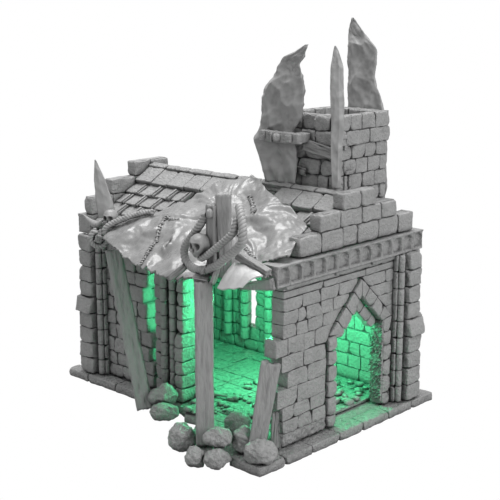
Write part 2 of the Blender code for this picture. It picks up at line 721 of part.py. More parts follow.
def ropes():
    """Thick twisted ropes: one hung round the mast, and one coiled on the log and laid along the hide."""
    sling = [
        (53.6, -84, 126.5), (50, -85.5, 120), (44.5, -86, 113.5), (39.8, -86, 107.5), (41, -86.4, 101.4),
        (47.2, -87, 98.2), (55, -87.5, 98.8), (63.3, -87.5, 102), (70.5, -87, 107.6), (76.5, -86, 112.5),
        (80.4, -86, 117.8), (79.8, -85, 123), (76.5, -83, 129), (72.5, -80, 132.5),
    ]
    tube("mast_rope", sling, 1.7, ROPE)
    across = Matrix.Rotation(math.radians(FRONT_CORNER_TURN), 3, "Z") @ Vector((1, 0, 0))
    centre = Vector((-47.9, -70.2, 96.8))
    coil = []
    for i in range(COIL_STEPS + 1):
        angle = math.radians(COIL_START + COIL_SWEEP * i / COIL_STEPS)
        rise = Vector((0, 0, COIL_RADIUS * math.sin(angle)))
        coil.append(centre + across * COIL_RADIUS * math.cos(angle) + rise)
    run = [
        (-44.4, -67.2, 103.4), (-40.6, -64.8, 106.2), (-34.2, -61.2, 109.4), (-27.0, -56.6, 112.2),
        (-20.0, -53.4, 113.4),
    ]
    tube("left_rope", coil + run, 1.6, ROPE)


# ---------------------------------------------------------------- tower


def blade(name, stations, flatness, turn, sides=6):
    """A flint-like blade lofted through stations of (x, y, z, half width), closed at both ends."""
    shape = bmesh.new()
    spin = Matrix.Rotation(math.radians(turn), 3, "Z")
    rings = []
    for x, y, z, half in stations:
        ring = []
        for i in range(sides):
            angle = math.tau * i / sides
            flat = Vector((half * math.cos(angle), half * flatness * math.sin(angle), 0))
            ring.append(shape.verts.new(Vector((x, y, z)) + spin @ flat))
        rings.append(ring)
    for low, high in zip(rings, rings[1:]):
        for i in range(sides):
            j = (i + 1) % sides
            shape.faces.new((low[i], low[j], high[j], high[i]))
    shape.faces.new(rings[0][::-1])
    shape.faces.new(rings[-1])
    return smooth(finish_bmesh(name, shape, FLINT), 25)


def make_tower():
    """A hollow square stack. Its foot is cut to the back slope, and its rim stands a little proud."""
    (x0, x1), (y0, y1) = TOWER_X, TOWER_Y
    rest = slope_point(0, -TILE_T, 1)[1] + 2 * GAP
    outline = [(y, rest - SLOPE * (y - RIDGE_Y)) for y in (y0, y1)]
    outline = [outline[0], (y0, TOWER_TOP), (y1, TOWER_TOP), outline[1]]
    stack = plate("tower_stack", [outline], x0, x1, ACROSS_X, STONE)
    rim_low = (x0 - RIM_OUT, y0 - RIM_OUT, TOWER_TOP - 9)
    join(stack, block("tower_rim", rim_low, (x1 + RIM_OUT, y1 + RIM_OUT, TOWER_TOP + 0.2), STONE, CUTTERS))
    well_low = (x0 + TOWER_WALL, y0 + TOWER_WALL, RIDGE_Z - 50)
    well_high = (x1 - TOWER_WALL, y1 - TOWER_WALL, TOWER_TOP + 10)
    cut(stack, block("tower_well", well_low, well_high, STONE, CUTTERS))
    beam = block("tower_beam", (21.5, -10.2, 153.2), (49.5, -5.2, 159.6), STONE)
    join(beam, block("tower_beam_return", (40.5, -7.0, 153.8), (48.5, y0 - GAP, 159.0), STONE, CUTTERS))
    soften(beam, 0.6)


def make_shards():
    """Three tall flint claws that stand against the tower's corners."""
    left = [
        (30.0, -1.8, 131.0, 10.6), (28.3, -2.2, 144, 13.4), (25.8, -2.6, 153.2, 14.2), (27.4, -2.6, 160, 12.6),
        (31.4, -2.6, 167.7, 13.4), (31.8, -2.6, 176, 14.8), (33.5, -2.6, 183, 13.6), (35.9, -2.6, 189.3, 9.9),
        (36.6, -2.6, 195.6, 7.0), (39.8, -2.6, 200, 6.8), (44.7, -2.8, 203.2, 3.5), (49.2, -3.0, 207, 0.6),
    ]
    blade("shard_left", left, 0.13, 4)
    middle = [
        (69.9, -1.0, 131.0, 2.2), (69.5, -1.0, 141, 2.8), (69.4, -1.0, 153, 3.2), (69.8, -1.0, 165.5, 3.5),
        (69.5, -1.0, 176, 3.7), (68.9, -1.0, 184, 3.7), (68.7, -1.0, 195.7, 3.4), (68.4, -1.0, 199.4, 2.6),
        (67.8, -1.0, 204, 1.5), (67.3, -1.0, 206.8, 0.4),
    ]
    blade("shard_middle", middle, 0.45, FRONT_CORNER_TURN)
    right = [
        (50, 55.0, 110, 9.5), (49.5, 55.0, 126, 12.5), (46.5, 55.0, 150, 12.8), (45.5, 55.0, 169.6, 12.6),
        (42.7, 55.0, 181.4, 10.1), (42.0, 55.0, 189.2, 9.6), (42.2, 55.0, 202.3, 10.3), (39.5, 55.0, 207.5, 7.6),
        (36.6, 55.0, 213.9, 4.4), (34.6, 55.0, 220, 0.5),
    ]
    blade("shard_right", right, 0.2, 2)


clear_scene()
PARTS = new_collection("terrain_ruin")
CUTTERS = new_collection("helpers")
CUTTERS.hide_render = True
make_plinth()
make_floor()
make_right_wall()
make_door_surround()
make_left_wall()
make_back_wall()
make_front_stub()
make_corner_piers()
make_front_pier()
make_gables()
make_base_timbers()
make_boulders()
make_remains()
make_deck()
make_roofing()
make_ridge_caps()
make_canopy()
make_dressing()
make_tower()
make_shards()
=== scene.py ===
"""Looks for the ruined gothic chapel: worn stonework, hewn timber, stitched hides, rope and flint.

Lengths in this script are millimetres unless a name says otherwise. +X runs along the ridge, -Y is the
broken front and +Z is up, as in the CAD. Every piece rides on the CAD body that it belongs to.
"""

import functools
import math
import random

import bmesh
import bpy
import numpy as np
from mathutils import Matrix, Vector, noise


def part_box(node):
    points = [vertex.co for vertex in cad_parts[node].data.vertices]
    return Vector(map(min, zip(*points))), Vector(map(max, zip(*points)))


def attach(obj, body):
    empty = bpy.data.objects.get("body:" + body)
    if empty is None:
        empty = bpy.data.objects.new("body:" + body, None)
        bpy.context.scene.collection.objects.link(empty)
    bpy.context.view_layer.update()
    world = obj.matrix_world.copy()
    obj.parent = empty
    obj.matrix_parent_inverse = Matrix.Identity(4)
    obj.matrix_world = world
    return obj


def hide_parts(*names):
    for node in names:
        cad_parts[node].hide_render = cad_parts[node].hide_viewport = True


MM = 0.001
UP = np.array((0.0, 0.0, 1.0))
EAST = np.array((1.0, 0.0, 0.0))
NORTH = np.array((0.0, 1.0, 0.0))

PLINTH_X, PLINTH_Y = 96.0, 60.0
FLOOR_X = 77.6
FOOT_Z = 5.3
WALL_T = 8.0
RIGHT_X, LEFT_X = 87.0, -86.0
FRONT_Y, BACK_Y = -50.0, 50.0
WALL_TOP = 91.7
WALL_HEAD = 94.1
FRIEZE_TOP = 103.0
RIDGE_Y, RIDGE_Z, SLOPE = -2.0, 129.0, 0.587
INNER_X0, INNER_X1 = -77.7, 78.7
TOWER_X = 25.4
OPEN_CORNER = (0.729, 0.6845, 0.0)
TURN = -42.0  # degrees, of the posts at the open corner
STRANDS, ROPE_PITCH = 3, 5.4

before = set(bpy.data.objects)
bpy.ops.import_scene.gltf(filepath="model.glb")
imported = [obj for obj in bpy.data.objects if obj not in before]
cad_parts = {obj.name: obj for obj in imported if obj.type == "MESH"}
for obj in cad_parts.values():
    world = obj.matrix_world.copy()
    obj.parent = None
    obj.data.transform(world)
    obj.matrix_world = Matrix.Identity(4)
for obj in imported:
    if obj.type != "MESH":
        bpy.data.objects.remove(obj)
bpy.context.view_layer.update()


# ---------------------------------------------------------------- mesh helpers


class Heap:
    """The points and faces of one piece."""

    def __init__(self):
        self.points, self.faces, self.count = [], [], 0

    def add(self, points, faces):
        points = np.asarray(points, float).reshape(-1, 3)
        base = self.count
        self.points.append(points)
        self.faces += [tuple(int(i) + base for i in face) for face in faces]
        self.count += len(points)


def piece(name, heap, look, body, *stands_for, crease=None):
    """Turns a heap into a shown object that rides on a body and stands for CAD nodes."""
    mesh = bpy.data.meshes.new(name)
    mesh.from_pydata((np.concatenate(heap.points) * MM).tolist(), [], heap.faces)
    shape = bmesh.new()
    shape.from_mesh(mesh)
    bmesh.ops.recalc_face_normals(shape, faces=shape.faces)
    shape.to_mesh(mesh)
    shape.free()
    mesh.shade_smooth()
    if crease:
        mesh.set_sharp_from_angle(angle=math.radians(crease))
    mesh.materials.append(look)
    made = bpy.data.objects.new(name, mesh)
    bpy.context.scene.collection.objects.link(made)
    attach(made, body)
    if stands_for:
        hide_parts(*stands_for)
    return made


def bumps(points, scale, seed):
    """Smooth noise, one value a point. Scale is one number or one number an axis."""
    shift = np.array((seed * 7.31 % 91, seed * 3.17 % 83, seed * 1.93 % 71))
    return np.array([noise.noise(p) for p in points * scale + shift])


def unit(v):
    v = np.asarray(v, float)
    return v / max(1e-9, float(np.linalg.norm(v)))


def curve(points, count):
    """Points along a smooth curve through the given ones."""
    pts = np.array(points, float)
    last = len(pts) - 1
    t = np.linspace(0, last, count)
    i = np.clip(t.astype(int), 0, last - 1)
    f = (t - i)[:, None]
    p0, p1, p2, p3 = pts[np.maximum(i - 1, 0)], pts[i], pts[i + 1], pts[np.minimum(i + 2, last)]
    bend = 2 * p0 - 5 * p1 + 4 * p2 - p3
    swing = -p0 + 3 * p1 - 3 * p2 + p3
    return 0.5 * (2 * p1 + (p2 - p0) * f + bend * f**2 + swing * f**3)


def length_of(line):
    return float(np.linalg.norm(np.diff(line, axis=0), axis=1).sum())


def tube_faces(rings, sides, closed=True):
    """Faces of a tube made of rings of points, and of its two ends if it is closed."""
    faces = [
        (i * sides + k, i * sides + (k + 1) % sides, (i + 1) * sides + (k + 1) % sides, (i + 1) * sides + k)
        for i in range(rings - 1)
        for k in range(sides)
    ]
    if closed:
        faces += [tuple(range(sides)), tuple(range((rings - 1) * sides, rings * sides))]
    return faces


def grid_faces(rows, columns):
    return [
        (i * columns + j, i * columns + j + 1, (i + 1) * columns + j + 1, (i + 1) * columns + j)
        for i in range(rows - 1)
        for j in range(columns - 1)
    ]


def unit_grid(rows, columns):
    """Two shares from 0 to 1 for each point of a grid."""
    s, t = np.meshgrid(np.linspace(0, 1, rows), np.linspace(0, 1, columns), indexing="ij")
    return s.ravel(), t.ravel()


@functools.lru_cache(maxsize=None)
def ball(detail):
    """Points and faces of a round ball of radius 1."""
    shape = bmesh.new()
    bmesh.ops.create_icosphere(shape, subdivisions=detail, radius=1.0)
    points = np.array([v.co for v in shape.verts])
    faces = [[v.index for v in f.verts] for f in shape.faces]
    shape.free()
    return points, faces


@functools.lru_cache(maxsize=None)
def box_net(na, nb, nc):
    """Grid places and faces of a box's surface with na x nb x nc cells."""
    ids, places, faces = {}, [], []

    def at(i, j, k):
        if (i, j, k) not in ids:
            ids[(i, j, k)] = len(places)
            places.append((i, j, k))
        return ids[(i, j, k)]

    for i in range(na):
        for j in range(nb):
            for k in (0, nc):
                faces.append((at(i, j, k), at(i, j + 1, k), at(i + 1, j + 1, k), at(i + 1, j, k)))
    for i in range(na):
        for k in range(nc):
            for j in (0, nb):
                faces.append((at(i, j, k), at(i + 1, j, k), at(i + 1, j, k + 1), at(i, j, k + 1)))
    for j in range(nb):
        for k in range(nc):
            for i in (0, na):
                faces.append((at(i, j, k), at(i, j, k + 1), at(i, j + 1, k + 1), at(i, j + 1, k)))
    return np.array(places), faces


def ticks(size, edge, step):
    """Places along one side of a block: close together near its ends, where it is rounded."""
    inner = max(1, round((size - 2 * edge) / step))
    middle = np.linspace(edge, size - edge, inner + 1)
    return np.concatenate(([0, edge * 0.4], middle, [size - edge * 0.4, size]))


def both(a):
    """The ends at the foot and at the head, which are the same when only two are given."""
    return tuple(a) if len(a) == 4 else (*a, *a)


def stone(heap, place, a, z, n, seed, edge=1.0, rough=0.3, chips=0.35, step=2.0):
    """A worn block. a is its low and high end, at the foot and then at the head if these differ. n is its
    inner and its outer face, and then its outer face at the head if that differs. place is (origin, along,
    out, up). chips is the chance that a corner is knocked off."""
    origin, along, out, up = place
    a, n = both(a), (*n, n[-1])[:3]
    dice = random.Random(seed)
    size = np.array(((a[1] - a[0] + a[3] - a[2]) / 2, n[1] - n[0], z[1] - z[0]))
    edge = min(edge, 0.45 * size.min())
    rows = [ticks(s, edge, step) for s in size]
    net, faces = box_net(*[len(r) - 1 for r in rows])
    p = np.stack([rows[k][net[:, k]] for k in range(3)], axis=1)
    inner = np.clip(p, edge, size - edge)
    d = p - inner
    normal = d / np.linalg.norm(d, axis=1)[:, None]
    p = inner + normal * edge
    swell = bumps(p, 0.17, seed) * rough + bumps(p, 0.5, seed + 5) * rough * 0.55
    p = p + normal * swell[:, None]
    for corner in ((0, 0), (1, 0), (0, 1), (1, 1)):
        if dice.random() < chips:
            tip = np.array((corner[0] * size[0], size[1], corner[1] * size[2]))
            radius = dice.uniform(1.4, 3.4)
            near = np.clip(1 - np.linalg.norm(p - tip, axis=1) / radius, 0, 1)
            p = p - unit(tip - size / 2) * (near * radius * 0.42)[:, None]
    s, t = p[:, 0] / size[0], p[:, 2] / size[2]
    left, right = a[0] + (a[2] - a[0]) * t, a[1] + (a[3] - a[1]) * t
    reach = n[0] + p[:, 1] * (1 + (n[2] - n[1]) / size[1] * t)
    where = np.outer(left + (right - left) * s, along) + np.outer(reach, out) + np.outer(z[0] + p[:, 2], up)
    heap.add(np.asarray(origin) + where, faces)


def slab(heap, place, a, z, n):
    """A plain filling behind the blocks, which the joints look into."""
    origin, along, out, up = place
    a = both(a)
    net, faces = box_net(1, 1, 1)
    heap.add([origin + along * a[i + 2 * k] + out * n[j] + up * z[k] for i, j, k in net], faces)


def place_on(origin, along, out, up=UP):
    return (np.array(origin, float), np.array(along, float), np.array(out, float), np.array(up, float))


def joints_between(dice, low, high, count, wander):
    """The ends of count blocks between low and high, with the joints between them moved about."""
    return [
        low + (high - low) * (i + (dice.uniform(-wander, wander) if 0 < i < count else 0)) / count
        for i in range(count + 1)
    ]


def masonry(heap, place, levels, stretches, depth, seed, lengths=(8, 16), proud=0.35, **look):
    """Courses of blocks through a wall. stretches(z0, z1) gives the runs of wall in a course."""
    dice = random.Random(seed)
    for z0, z1 in zip(levels, levels[1:]):
        for run in stretches(z0, z1):
            a0, a1, b0, b1 = both(run)
            low, high = max(a0, b0), min(a1, b1)
            count = max(1, round((high - low) / dice.uniform(*lengths)))
            cuts = joints_between(dice, low, high, count, 0.22)[1:-1]
            feet, heads = [a0] + cuts + [a1], [b0] + cuts + [b1]
            inset = min(1.4, depth * 0.2)
            slab(heap, place, (a0 + 1, a1 - 1, b0 + 1, b1 - 1), (z0, z1), (inset - depth, -inset))
            for i in range(count):
                gap = dice.choice((0.05, 0.1, 0.1, 0.3))
                ends = (feet[i] + gap, feet[i + 1] - gap, heads[i] + gap, heads[i + 1] - gap)
                face = dice.uniform(-proud, proud)
                rear = -depth + dice.uniform(-proud, proud) * 0.7
                block_seed = seed * 1000 + dice.randrange(1000)
                head = z1 - dice.choice((0.05, 0.1, 0.3))
                stone(heap, place, ends, (z0 + 0.08, head), (rear, face), block_seed, **look)


def levels_between(low, high, pitch):
    return list(np.linspace(low, high, max(2, round((high - low) / pitch) + 1)))


def whole(low, high):
    return lambda z0, z1: [(low, high)]


def relief(heap, place, a, z, depth, height, step=0.7):
    """A slab whose outer face is pushed in and out by height(a, z)."""
    origin, along, out, up = place
    na, nz = max(2, round((a[1] - a[0]) / step)), max(2, round((z[1] - z[0]) / step))
    net, faces = box_net(na, 3, nz)
    at = np.stack((a[0] + (a[1] - a[0]) * net[:, 0] / na, z[0] + (z[1] - z[0]) * net[:, 2] / nz), axis=1)
    push = height(at[:, 0], at[:, 1])
    between = -depth * (1 - net[:, 1] / 3) - 0.6
    reach = np.where(net[:, 1] == 0, -depth, np.where(net[:, 1] == 3, push, between))
    heap.add(origin + np.outer(at[:, 0], along) + np.outer(reach, out) + np.outer(at[:, 1], up), faces)


def side_vectors(line):
    """Two directions square to a line at each of its points, which don't twist along it."""
    tangent = np.gradient(line, axis=0)
    tangent /= np.linalg.norm(tangent, axis=1)[:, None]
    side = unit(np.cross(tangent[0], (0.31, 0.27, 0.91)))
    sides = []
    for t in tangent:
        side = unit(side - t * np.dot(side, t))
        sides.append(side)
    sides = np.array(sides)
    return sides, np.cross(tangent, sides)


def sweep(heap, line, radii, sides=10, seed=None, rough=0.0):
    """A round strand along a line, closed at both ends."""
    line = np.asarray(line, float)
    radii = np.broadcast_to(np.asarray(radii, float), (len(line),))
    across, other = side_vectors(line)
    angles = math.tau * np.arange(sides)[:, None] / sides
    rim = across[:, None] * np.cos(angles) + other[:, None] * np.sin(angles)
    points = (line[:, None] + rim * radii[:, None, None]).reshape(-1, 3)
    if seed is not None:
        centre = np.repeat(line, sides, axis=0)
        points = centre + (points - centre) * (1 + rough * bumps(points, 0.8, seed))[:, None]
    heap.add(points, tube_faces(len(line), sides))


def rope(heap, path, radius):
    """Strands laid round each other along a path."""
    rough_line = curve(path, 40)
    line = curve(path, max(8, int(length_of(rough_line) / 0.55)))
    step = np.concatenate(([0], np.cumsum(np.linalg.norm(np.diff(line, axis=0), axis=1))))
    across, other = side_vectors(line)
    for k in range(STRANDS):
        turn = math.tau * (step / ROPE_PITCH + k / STRANDS)[:, None]
        offset = across * np.cos(turn) + other * np.sin(turn)
        sweep(heap, line + offset * radius * 0.5, radius * 0.56, 8)


def beam(heap, foot, head, width, depth, turn=0.0, taper=1.0, seed=1, grain=1.0, jag=0.9, warp=0.5):
    """A hewn timber with long grain, splits and ragged ends."""
    foot, head = np.array(foot, float), np.array(head, float)
    length = float(np.linalg.norm(head - foot))
    upright = Vector(head - foot).to_track_quat("Z", "Y").to_matrix()
    spin = np.array(upright @ Matrix.Rotation(math.radians(turn), 3, "Z"))
    rings, around = max(6, int(length / 1.3)), 48
    points = []
    edge = min(width, depth) * 0.16
    w = math.tau * (np.arange(around) + 0.5) / around
    outline = np.stack((np.cos(w), np.sin(w)), axis=1)
    outline /= np.abs(outline).max(axis=1)[:, None]
    half = np.array((width, depth)) / 2
    flat = outline * half
    inner = np.clip(flat, -(half - edge), half - edge)
    d = flat - inner
    normal = d / np.maximum(np.linalg.norm(d, axis=1)[:, None], 1e-9)
    section = inner + normal * edge
    for i in range(rings + 1):
        share = i / rings
        grow = 1 + (taper - 1) * share
        z = (share - 0.5) * length
        bend = warp * np.array((noise.noise((z * 0.03, seed, 0)), noise.noise((z * 0.03, seed, 9))))
        keys = np.stack((section[:, 0], section[:, 1], np.full(around, z)), axis=1)
        long_noise = bumps(keys, (0.55, 0.55, 0.035), seed)
        fine_noise = bumps(keys, (1.5, 1.5, 0.09), seed + 3)
        splits = 0.55 * np.clip(1 - np.abs(long_noise) * 7, 0, 1)
        fibres = 0.28 * np.clip(1 - np.abs(fine_noise) * 5, 0, 1)
        push = (0.25 * bumps(keys, (0.3, 0.3, 0.1), seed + 8) - splits - fibres) * grain
        ring = section * grow + normal * push[:, None] + bend
        ends = bumps(keys, (0.8, 0.8, 0.0), seed + 20) * jag * (abs(2 * share - 1) ** 12)
        points += [(ring[k, 0], ring[k, 1], z + ends[k] * (1 if share > 0.5 else -1)) for k in range(around)]
    faces = tube_faces(rings + 1, around, closed=False)
    for end, base in ((-1, 0), (1, rings * around)):
        last = list(range(base, base + around))
        rim = np.array(points[base : base + around])
        for shrink, sink in ((0.72, 0.15), (0.36, 0.45)):
            start = len(points)
            ring = rim * (shrink, shrink, 1)
            ring[:, 2] -= end * sink * (0.6 + 0.7 * np.abs(bumps(ring, 0.9, seed + 30)))
            points += [tuple(q) for q in ring]
            new = list(range(start, start + around))
            faces += [(last[k], last[(k + 1) % around], new[(k + 1) % around], new[k]) for k in range(around)]
            last = new
        faces.append(tuple(last))
    heap.add(np.array(points) @ spin.T + (foot + head) / 2, faces)


# ---------------------------------------------------------------- materials


CAVITY_REACH = 0.0035  # metres, how far the painted shade in cavities looks for nearby surfaces


def cast_resin(
    name, tone, roughness, grain, grain_scale, stretch=(1, 1, 1), depth=0.25, painted_shade_floor=0.2, mottle=0.12
):
    """Grey cast resin: painted shade in its cavities and where parts meet, a little mottled, with a fine
    surface grain.
    """
    look = bpy.data.materials.new(name)
    look.use_nodes = True
    tree = look.node_tree
    nodes, links = tree.nodes, tree.links
    shader = nodes["Principled BSDF"]

    def add(kind, **values):
        """A new node with some of its inputs set. An underscore stands for a space."""
        node = nodes.new("ShaderNode" + kind)
        for key, value in values.items():
            node.inputs[key.replace("_", " ")].default_value = value
        return node

    scale = add("Mapping", Scale=[1 / MM * s for s in stretch])
    links.new(add("TexCoord").outputs["Object"], scale.inputs["Vector"])

    def cloud(size, detail):
        texture = add("TexNoise", Scale=size, Detail=detail, Roughness=0.6)
        links.new(scale.outputs["Vector"], texture.inputs["Vector"])
        return texture.outputs["Fac"]

    def spread(source, low, high, to_low, to_high):
        step = add("MapRange", From_Min=low, From_Max=high, To_Min=to_low, To_Max=to_high)
        links.new(source, step.inputs["Value"])
        return step.outputs["Result"]

    def times(a, b):
        step = nodes.new("ShaderNodeMath")
        step.operation = "MULTIPLY"
        links.new(a, step.inputs[0])
        links.new(b, step.inputs[1])
        return step.outputs["Value"]

    coarse, fine = cloud(0.09, 3), cloud(grain_scale, 6)
    # Painted shade: ambient occlusion darkens the base colour in cavities and where parts meet, down to the
    # given floor value.
    hollow = add("AmbientOcclusion", Distance=CAVITY_REACH)
    hollow.samples = 6
    shade = spread(hollow.outputs["AO"], 0.25, 0.92, painted_shade_floor, 1.0)
    patches = spread(coarse, 0.3, 0.7, tone * (1 - mottle), tone * (1 + mottle))
    specks = spread(fine, 0.3, 0.7, 1 - mottle * 0.7, 1 + mottle * 0.7)
    value = times(times(patches, shade), specks)
    colour = nodes.new("ShaderNodeCombineColor")
    for channel in ("Red", "Green", "Blue"):
        links.new(value, colour.inputs[channel])
    links.new(colour.outputs["Color"], shader.inputs["Base Color"])
    links.new(spread(fine, 0.3, 0.7, roughness - 0.08, roughness + 0.1), shader.inputs["Roughness"])
    bump = add("Bump", Strength=grain, Distance=depth * MM)
    links.new(fine, bump.inputs["Height"])
    links.new(bump.outputs["Normal"], shader.inputs["Normal"])
    return look


STONE = cast_resin("worn_stone", 0.365, 0.4, 1.0, 0.55, depth=1.9)
PAVING = cast_resin("paving_stone", 0.36, 0.28, 1.0, 0.4, depth=3.0)
TIMBER = cast_resin(
    "hewn_timber", 0.32, 0.45, 0.8, 0.9, stretch=(1, 1, 0.18), depth=0.9, mottle=0.08
)
HIDE = cast_resin("stretched_hide", 0.27, 0.27, 0.7, 0.3, depth=0.4, painted_shade_floor=0.3, mottle=0.05)
# A lighter copy of the hide for the hanging flap: its extra brightness is painted light, standing in for the
# light the flap catches.
PAINTED_LIGHT_HIDE = cast_resin("hide_painted_lighter", 0.62, 0.34, 0.7, 0.3, depth=0.7, painted_shade_floor=0.3, mottle=0.05)
BONE = cast_resin("old_bone", 0.29, 0.42, 0.5, 0.8, depth=0.2)
FLINT = cast_resin("knapped_flint", 0.34, 0.4, 0.5, 0.25, depth=0.4, mottle=0.07)
ROPE = cast_resin("twisted_rope", 0.36, 0.45, 0.6, 2.2, depth=0.2, painted_shade_floor=0.05)


# ---------------------------------------------------------------- plinth and floor


def build_plinth():
    heap = Heap()
    outline = [
        (-92, 56), (-92, -56), (-5, -56.5), (2, -57), (11, -60), (15, -64.5), (23, -63.5), (30, -70),
        (36, -79), (42, -84), (49, -85.5), (50.5, -91), (56, -94.5), (61, -92), (63.5, -88), (76, -86),
        (92, -86), (92, 56),
    ]
    dense = []
    for (x0, y0), (x1, y1) in zip(outline, outline[1:] + outline[:1]):
        count = max(2, int(math.hypot(x1 - x0, y1 - y0) / 2.2))
        dense += [(x0 + (x1 - x0) * i / count, y0 + (y1 - y0) * i / count) for i in range(count)]
    edge = np.array([(x, y, 0) for x, y in dense])
    centre = edge.mean(axis=0)
    rings = []
    for z, shrink in ((0.05, 0.0), (1.6, -0.5), (3.4, 0.2), (4.4, 1.0)):
        away = edge - centre
        away /= np.linalg.norm(away, axis=1)[:, None]
        ring = edge - away * (shrink + 0.8 * bumps(edge + (0, 0, z * 3), 0.35, 4))[:, None]
        rings.append(ring + (0, 0, z))
    heap.add(np.concatenate(rings), tube_faces(len(rings), len(dense)))
    dice = random.Random(3)
    right_edge = place_on((PLINTH_X, 0, 0), NORTH, EAST)
    runs = (
        (right_edge, (-70, 60), 9.4),
        (place_on((0, -PLINTH_Y, 0), EAST, -NORTH), (-PLINTH_X, -8), 9.5),
        (place_on((-PLINTH_X, 0, 0), NORTH, -EAST), (-50.4, 50.4), 9.4),
        (place_on((0, PLINTH_Y, 0), EAST, NORTH), (-PLINTH_X, 86.4), 9.5),
    )
    for place, (low, high), deep in runs:
        cuts = joints_between(dice, low, high, round((high - low) / 22), 0.12)
        for a, b in zip(cuts, cuts[1:]):
            top = 5.0 + dice.uniform(-0.35, 0.0)
            n = (-deep, 0, -dice.uniform(0.1, 0.5))
            stone(heap, place, (a + 0.15, b - 0.15), (0, top), n, dice.randrange(9999), 0.7, 0.35, 0.6, 1.7)
    corner = (-90, -70.4, -89.6, -70.6)
    stone(heap, right_edge, corner, (0, 5), (-21.4, 0, -0.3), 77, 0.6, 0.3, 0.4, 1.7)
    piece("plinth_stonework", heap, PAVING, "base", "foundation_plinth", crease=55)


def floor_left(y):
    if y > -42:
        return INNER_X0
    return float(np.interp(-y, (42, 55, 60, 70, 72), (4, 6, 18, 34, 44)))


def build_floor():
    heap = Heap()
    dice = random.Random(8)
    flat = place_on((0, 0, 0), EAST, UP, NORTH)
    bands = list(np.linspace(-72, -42, 4)) + list(np.linspace(-42, 41.7, 7))[1:]
    for y0, y1 in zip(bands, bands[1:]):
        left = floor_left((y0 + y1) / 2)
        cuts = joints_between(dice, left, FLOOR_X, max(2, round((FLOOR_X - left) / 20)), 0.2)
        for a, b in zip(cuts, cuts[1:]):
            z = (FOOT_Z, 6.75 + dice.uniform(-0.35, 0.05))
            seed = dice.randrange(9999)
            stone(heap, flat, (a + 0.25, b - 0.25), (y0 + 0.25, y1 - 0.25), z, seed, 0.45, 0.3, 0.5, 1.6)
    slab(heap, flat, (INNER_X0, FLOOR_X), (-41.9, 41.7), (FOOT_Z, 6.0))
    slab(heap, flat, (34, 77, 8, 77), (-71.5, -42), (FOOT_Z, 6.0))
    piece("floor_flagstones", heap, PAVING, "base", "flagstone_floor")
    rubble = Heap()
    for i in range(150):
        x, y = dice.uniform(8, 76), dice.uniform(-66, 36)
        r = dice.uniform(0.5, 1.9)
        pebble(rubble, (x, y, 6.8 + r * 0.4), (r * 1.6, r * 1.2, r), 300 + i)
    piece("floor_rubble", rubble, STONE, "base")


def pebble(heap, centre, size, seed, detail=2, rough=0.25):
    p, faces = ball(detail)
    p = np.sign(p) * np.abs(p) ** 0.8
    p = p * (1 + rough * bumps(p, 1.3, seed))[:, None]
    turn = np.array(Matrix.Rotation(seed * 0.7, 3, "Z"))
    heap.add((p * size) @ turn.T + np.array(centre, float), faces)


# ---------------------------------------------------------------- walls

RIGHT_FACE = place_on((RIGHT_X, 0, 0), NORTH, EAST)
LEFT_FACE = place_on((LEFT_X, 0, 0), NORTH, -EAST)
BACK_FACE = place_on((0, BACK_Y, 0), EAST, NORTH)
FRONT_FACE = place_on((0, FRONT_Y, 0), EAST, -NORTH)

HOOD_HALF, HOOD_SPRING, HOOD_APEX = 28.0, 57.5, 84.3
RIGHT_LEVELS = [12.0, 19.4, 26.8, 36.4, 45.6, 54.2, 63.3, 70.4, 77.4, 84.3]


def porch_end(z):
    """How far the broken end of the right wall reaches at a height."""
    steps = ((26.8, -63.5), (36.4, -67.4), (45.6, -59.5), (54.2, -64.0), (63.3, -68.5), (99, -63.0))
    return next(y for top, y in steps if z < top)


def hood_half(z):
    if z <= HOOD_SPRING:
        return HOOD_HALF
    return max(0.0, HOOD_HALF * (1 - (z - HOOD_SPRING) / (HOOD_APEX - HOOD_SPRING)))


def right_wall_runs(z0, z1):
    end = porch_end((z0 + z1) / 2)
    low, high = hood_half(z0) + 0.6, hood_half(z1) + 0.6
    return [(end, -low, end, -high), (low, BACK_Y - 0.2, high, BACK_Y - 0.2)]


def build_right_wall():
    heap = Heap()
    look = dict(proud=0.2, rough=0.5, edge=0.3, step=1.3)
    masonry(heap, RIGHT_FACE, RIGHT_LEVELS, right_wall_runs, WALL_T, 21, (9, 16), **look)
    for levels, seed, edge in (((84.3, 88.2), 22, 0.5), ((88.2, 91.6), 23, 0.6)):
        masonry(heap, RIGHT_FACE, levels, whole(-63, 49.8), WALL_T, seed, (20, 34), proud=0.1, edge=edge)
    for low, high in ((-62.8, -28.4), (28.4, 49.8)):
        relief(heap, RIGHT_FACE, (low, high), (FOOT_Z, 11.9), WALL_T, lambda a, z: rough_cut(a, z) - 0.3, 0.6)
    for low, high in ((-63.0, -24), (-23.6, 8), (8.4, 36.2)):
        stone(heap, RIGHT_FACE, (low, high), (89.3, 91.6), (-2, 1.1, 1.5), int(low) + 99, 0.5, 0.2, 0.5, 1.6)
    piece("right_wall_stonework", heap, STONE, "base", "right_gable_wall")


def rough_cut(a, z):
    """Hacked stone: overlapping pits and ridges."""
    keys = np.stack((a, z, np.zeros(len(a))), axis=1)
    return 0.9 * bumps(keys, 0.45, 12) + 0.7 * bumps(keys, 1.1, 13)


def arch_side(heap, side, foot, apex, thick, n, count, seed):
    """Voussoirs along one leg of a pointed arch, from its outer foot up to the apex."""
    start = np.array((RIGHT_X, side * foot[0], foot[1]))
    end = np.array((RIGHT_X, 0.0, apex))
    length = float(np.linalg.norm(end - start))
    along = (end - start) / length
    up = unit(np.cross(along, EAST) * (1 if side > 0 else -1))
    if up[2] < 0:
        up = -up
    place = (start, along, EAST, up)
    lost_top = thick * abs(up[1]) / abs(along[1])
    lost_foot = thick * abs(up[2]) / abs(along[2]) * 0.75
    for i in range(count):
        a = [length * i / count + 0.15, length * (i + 1) / count - 0.15] * 2
        if i == 0:
            a[0] = lost_foot
        if i == count - 1:
            a[1] = length - lost_top
        if a[1] - a[0] > 1.5:
            stone(heap, place, a, (-thick, -0.1), n, seed + i, 0.6, 0.25, 0.3, 1.6)


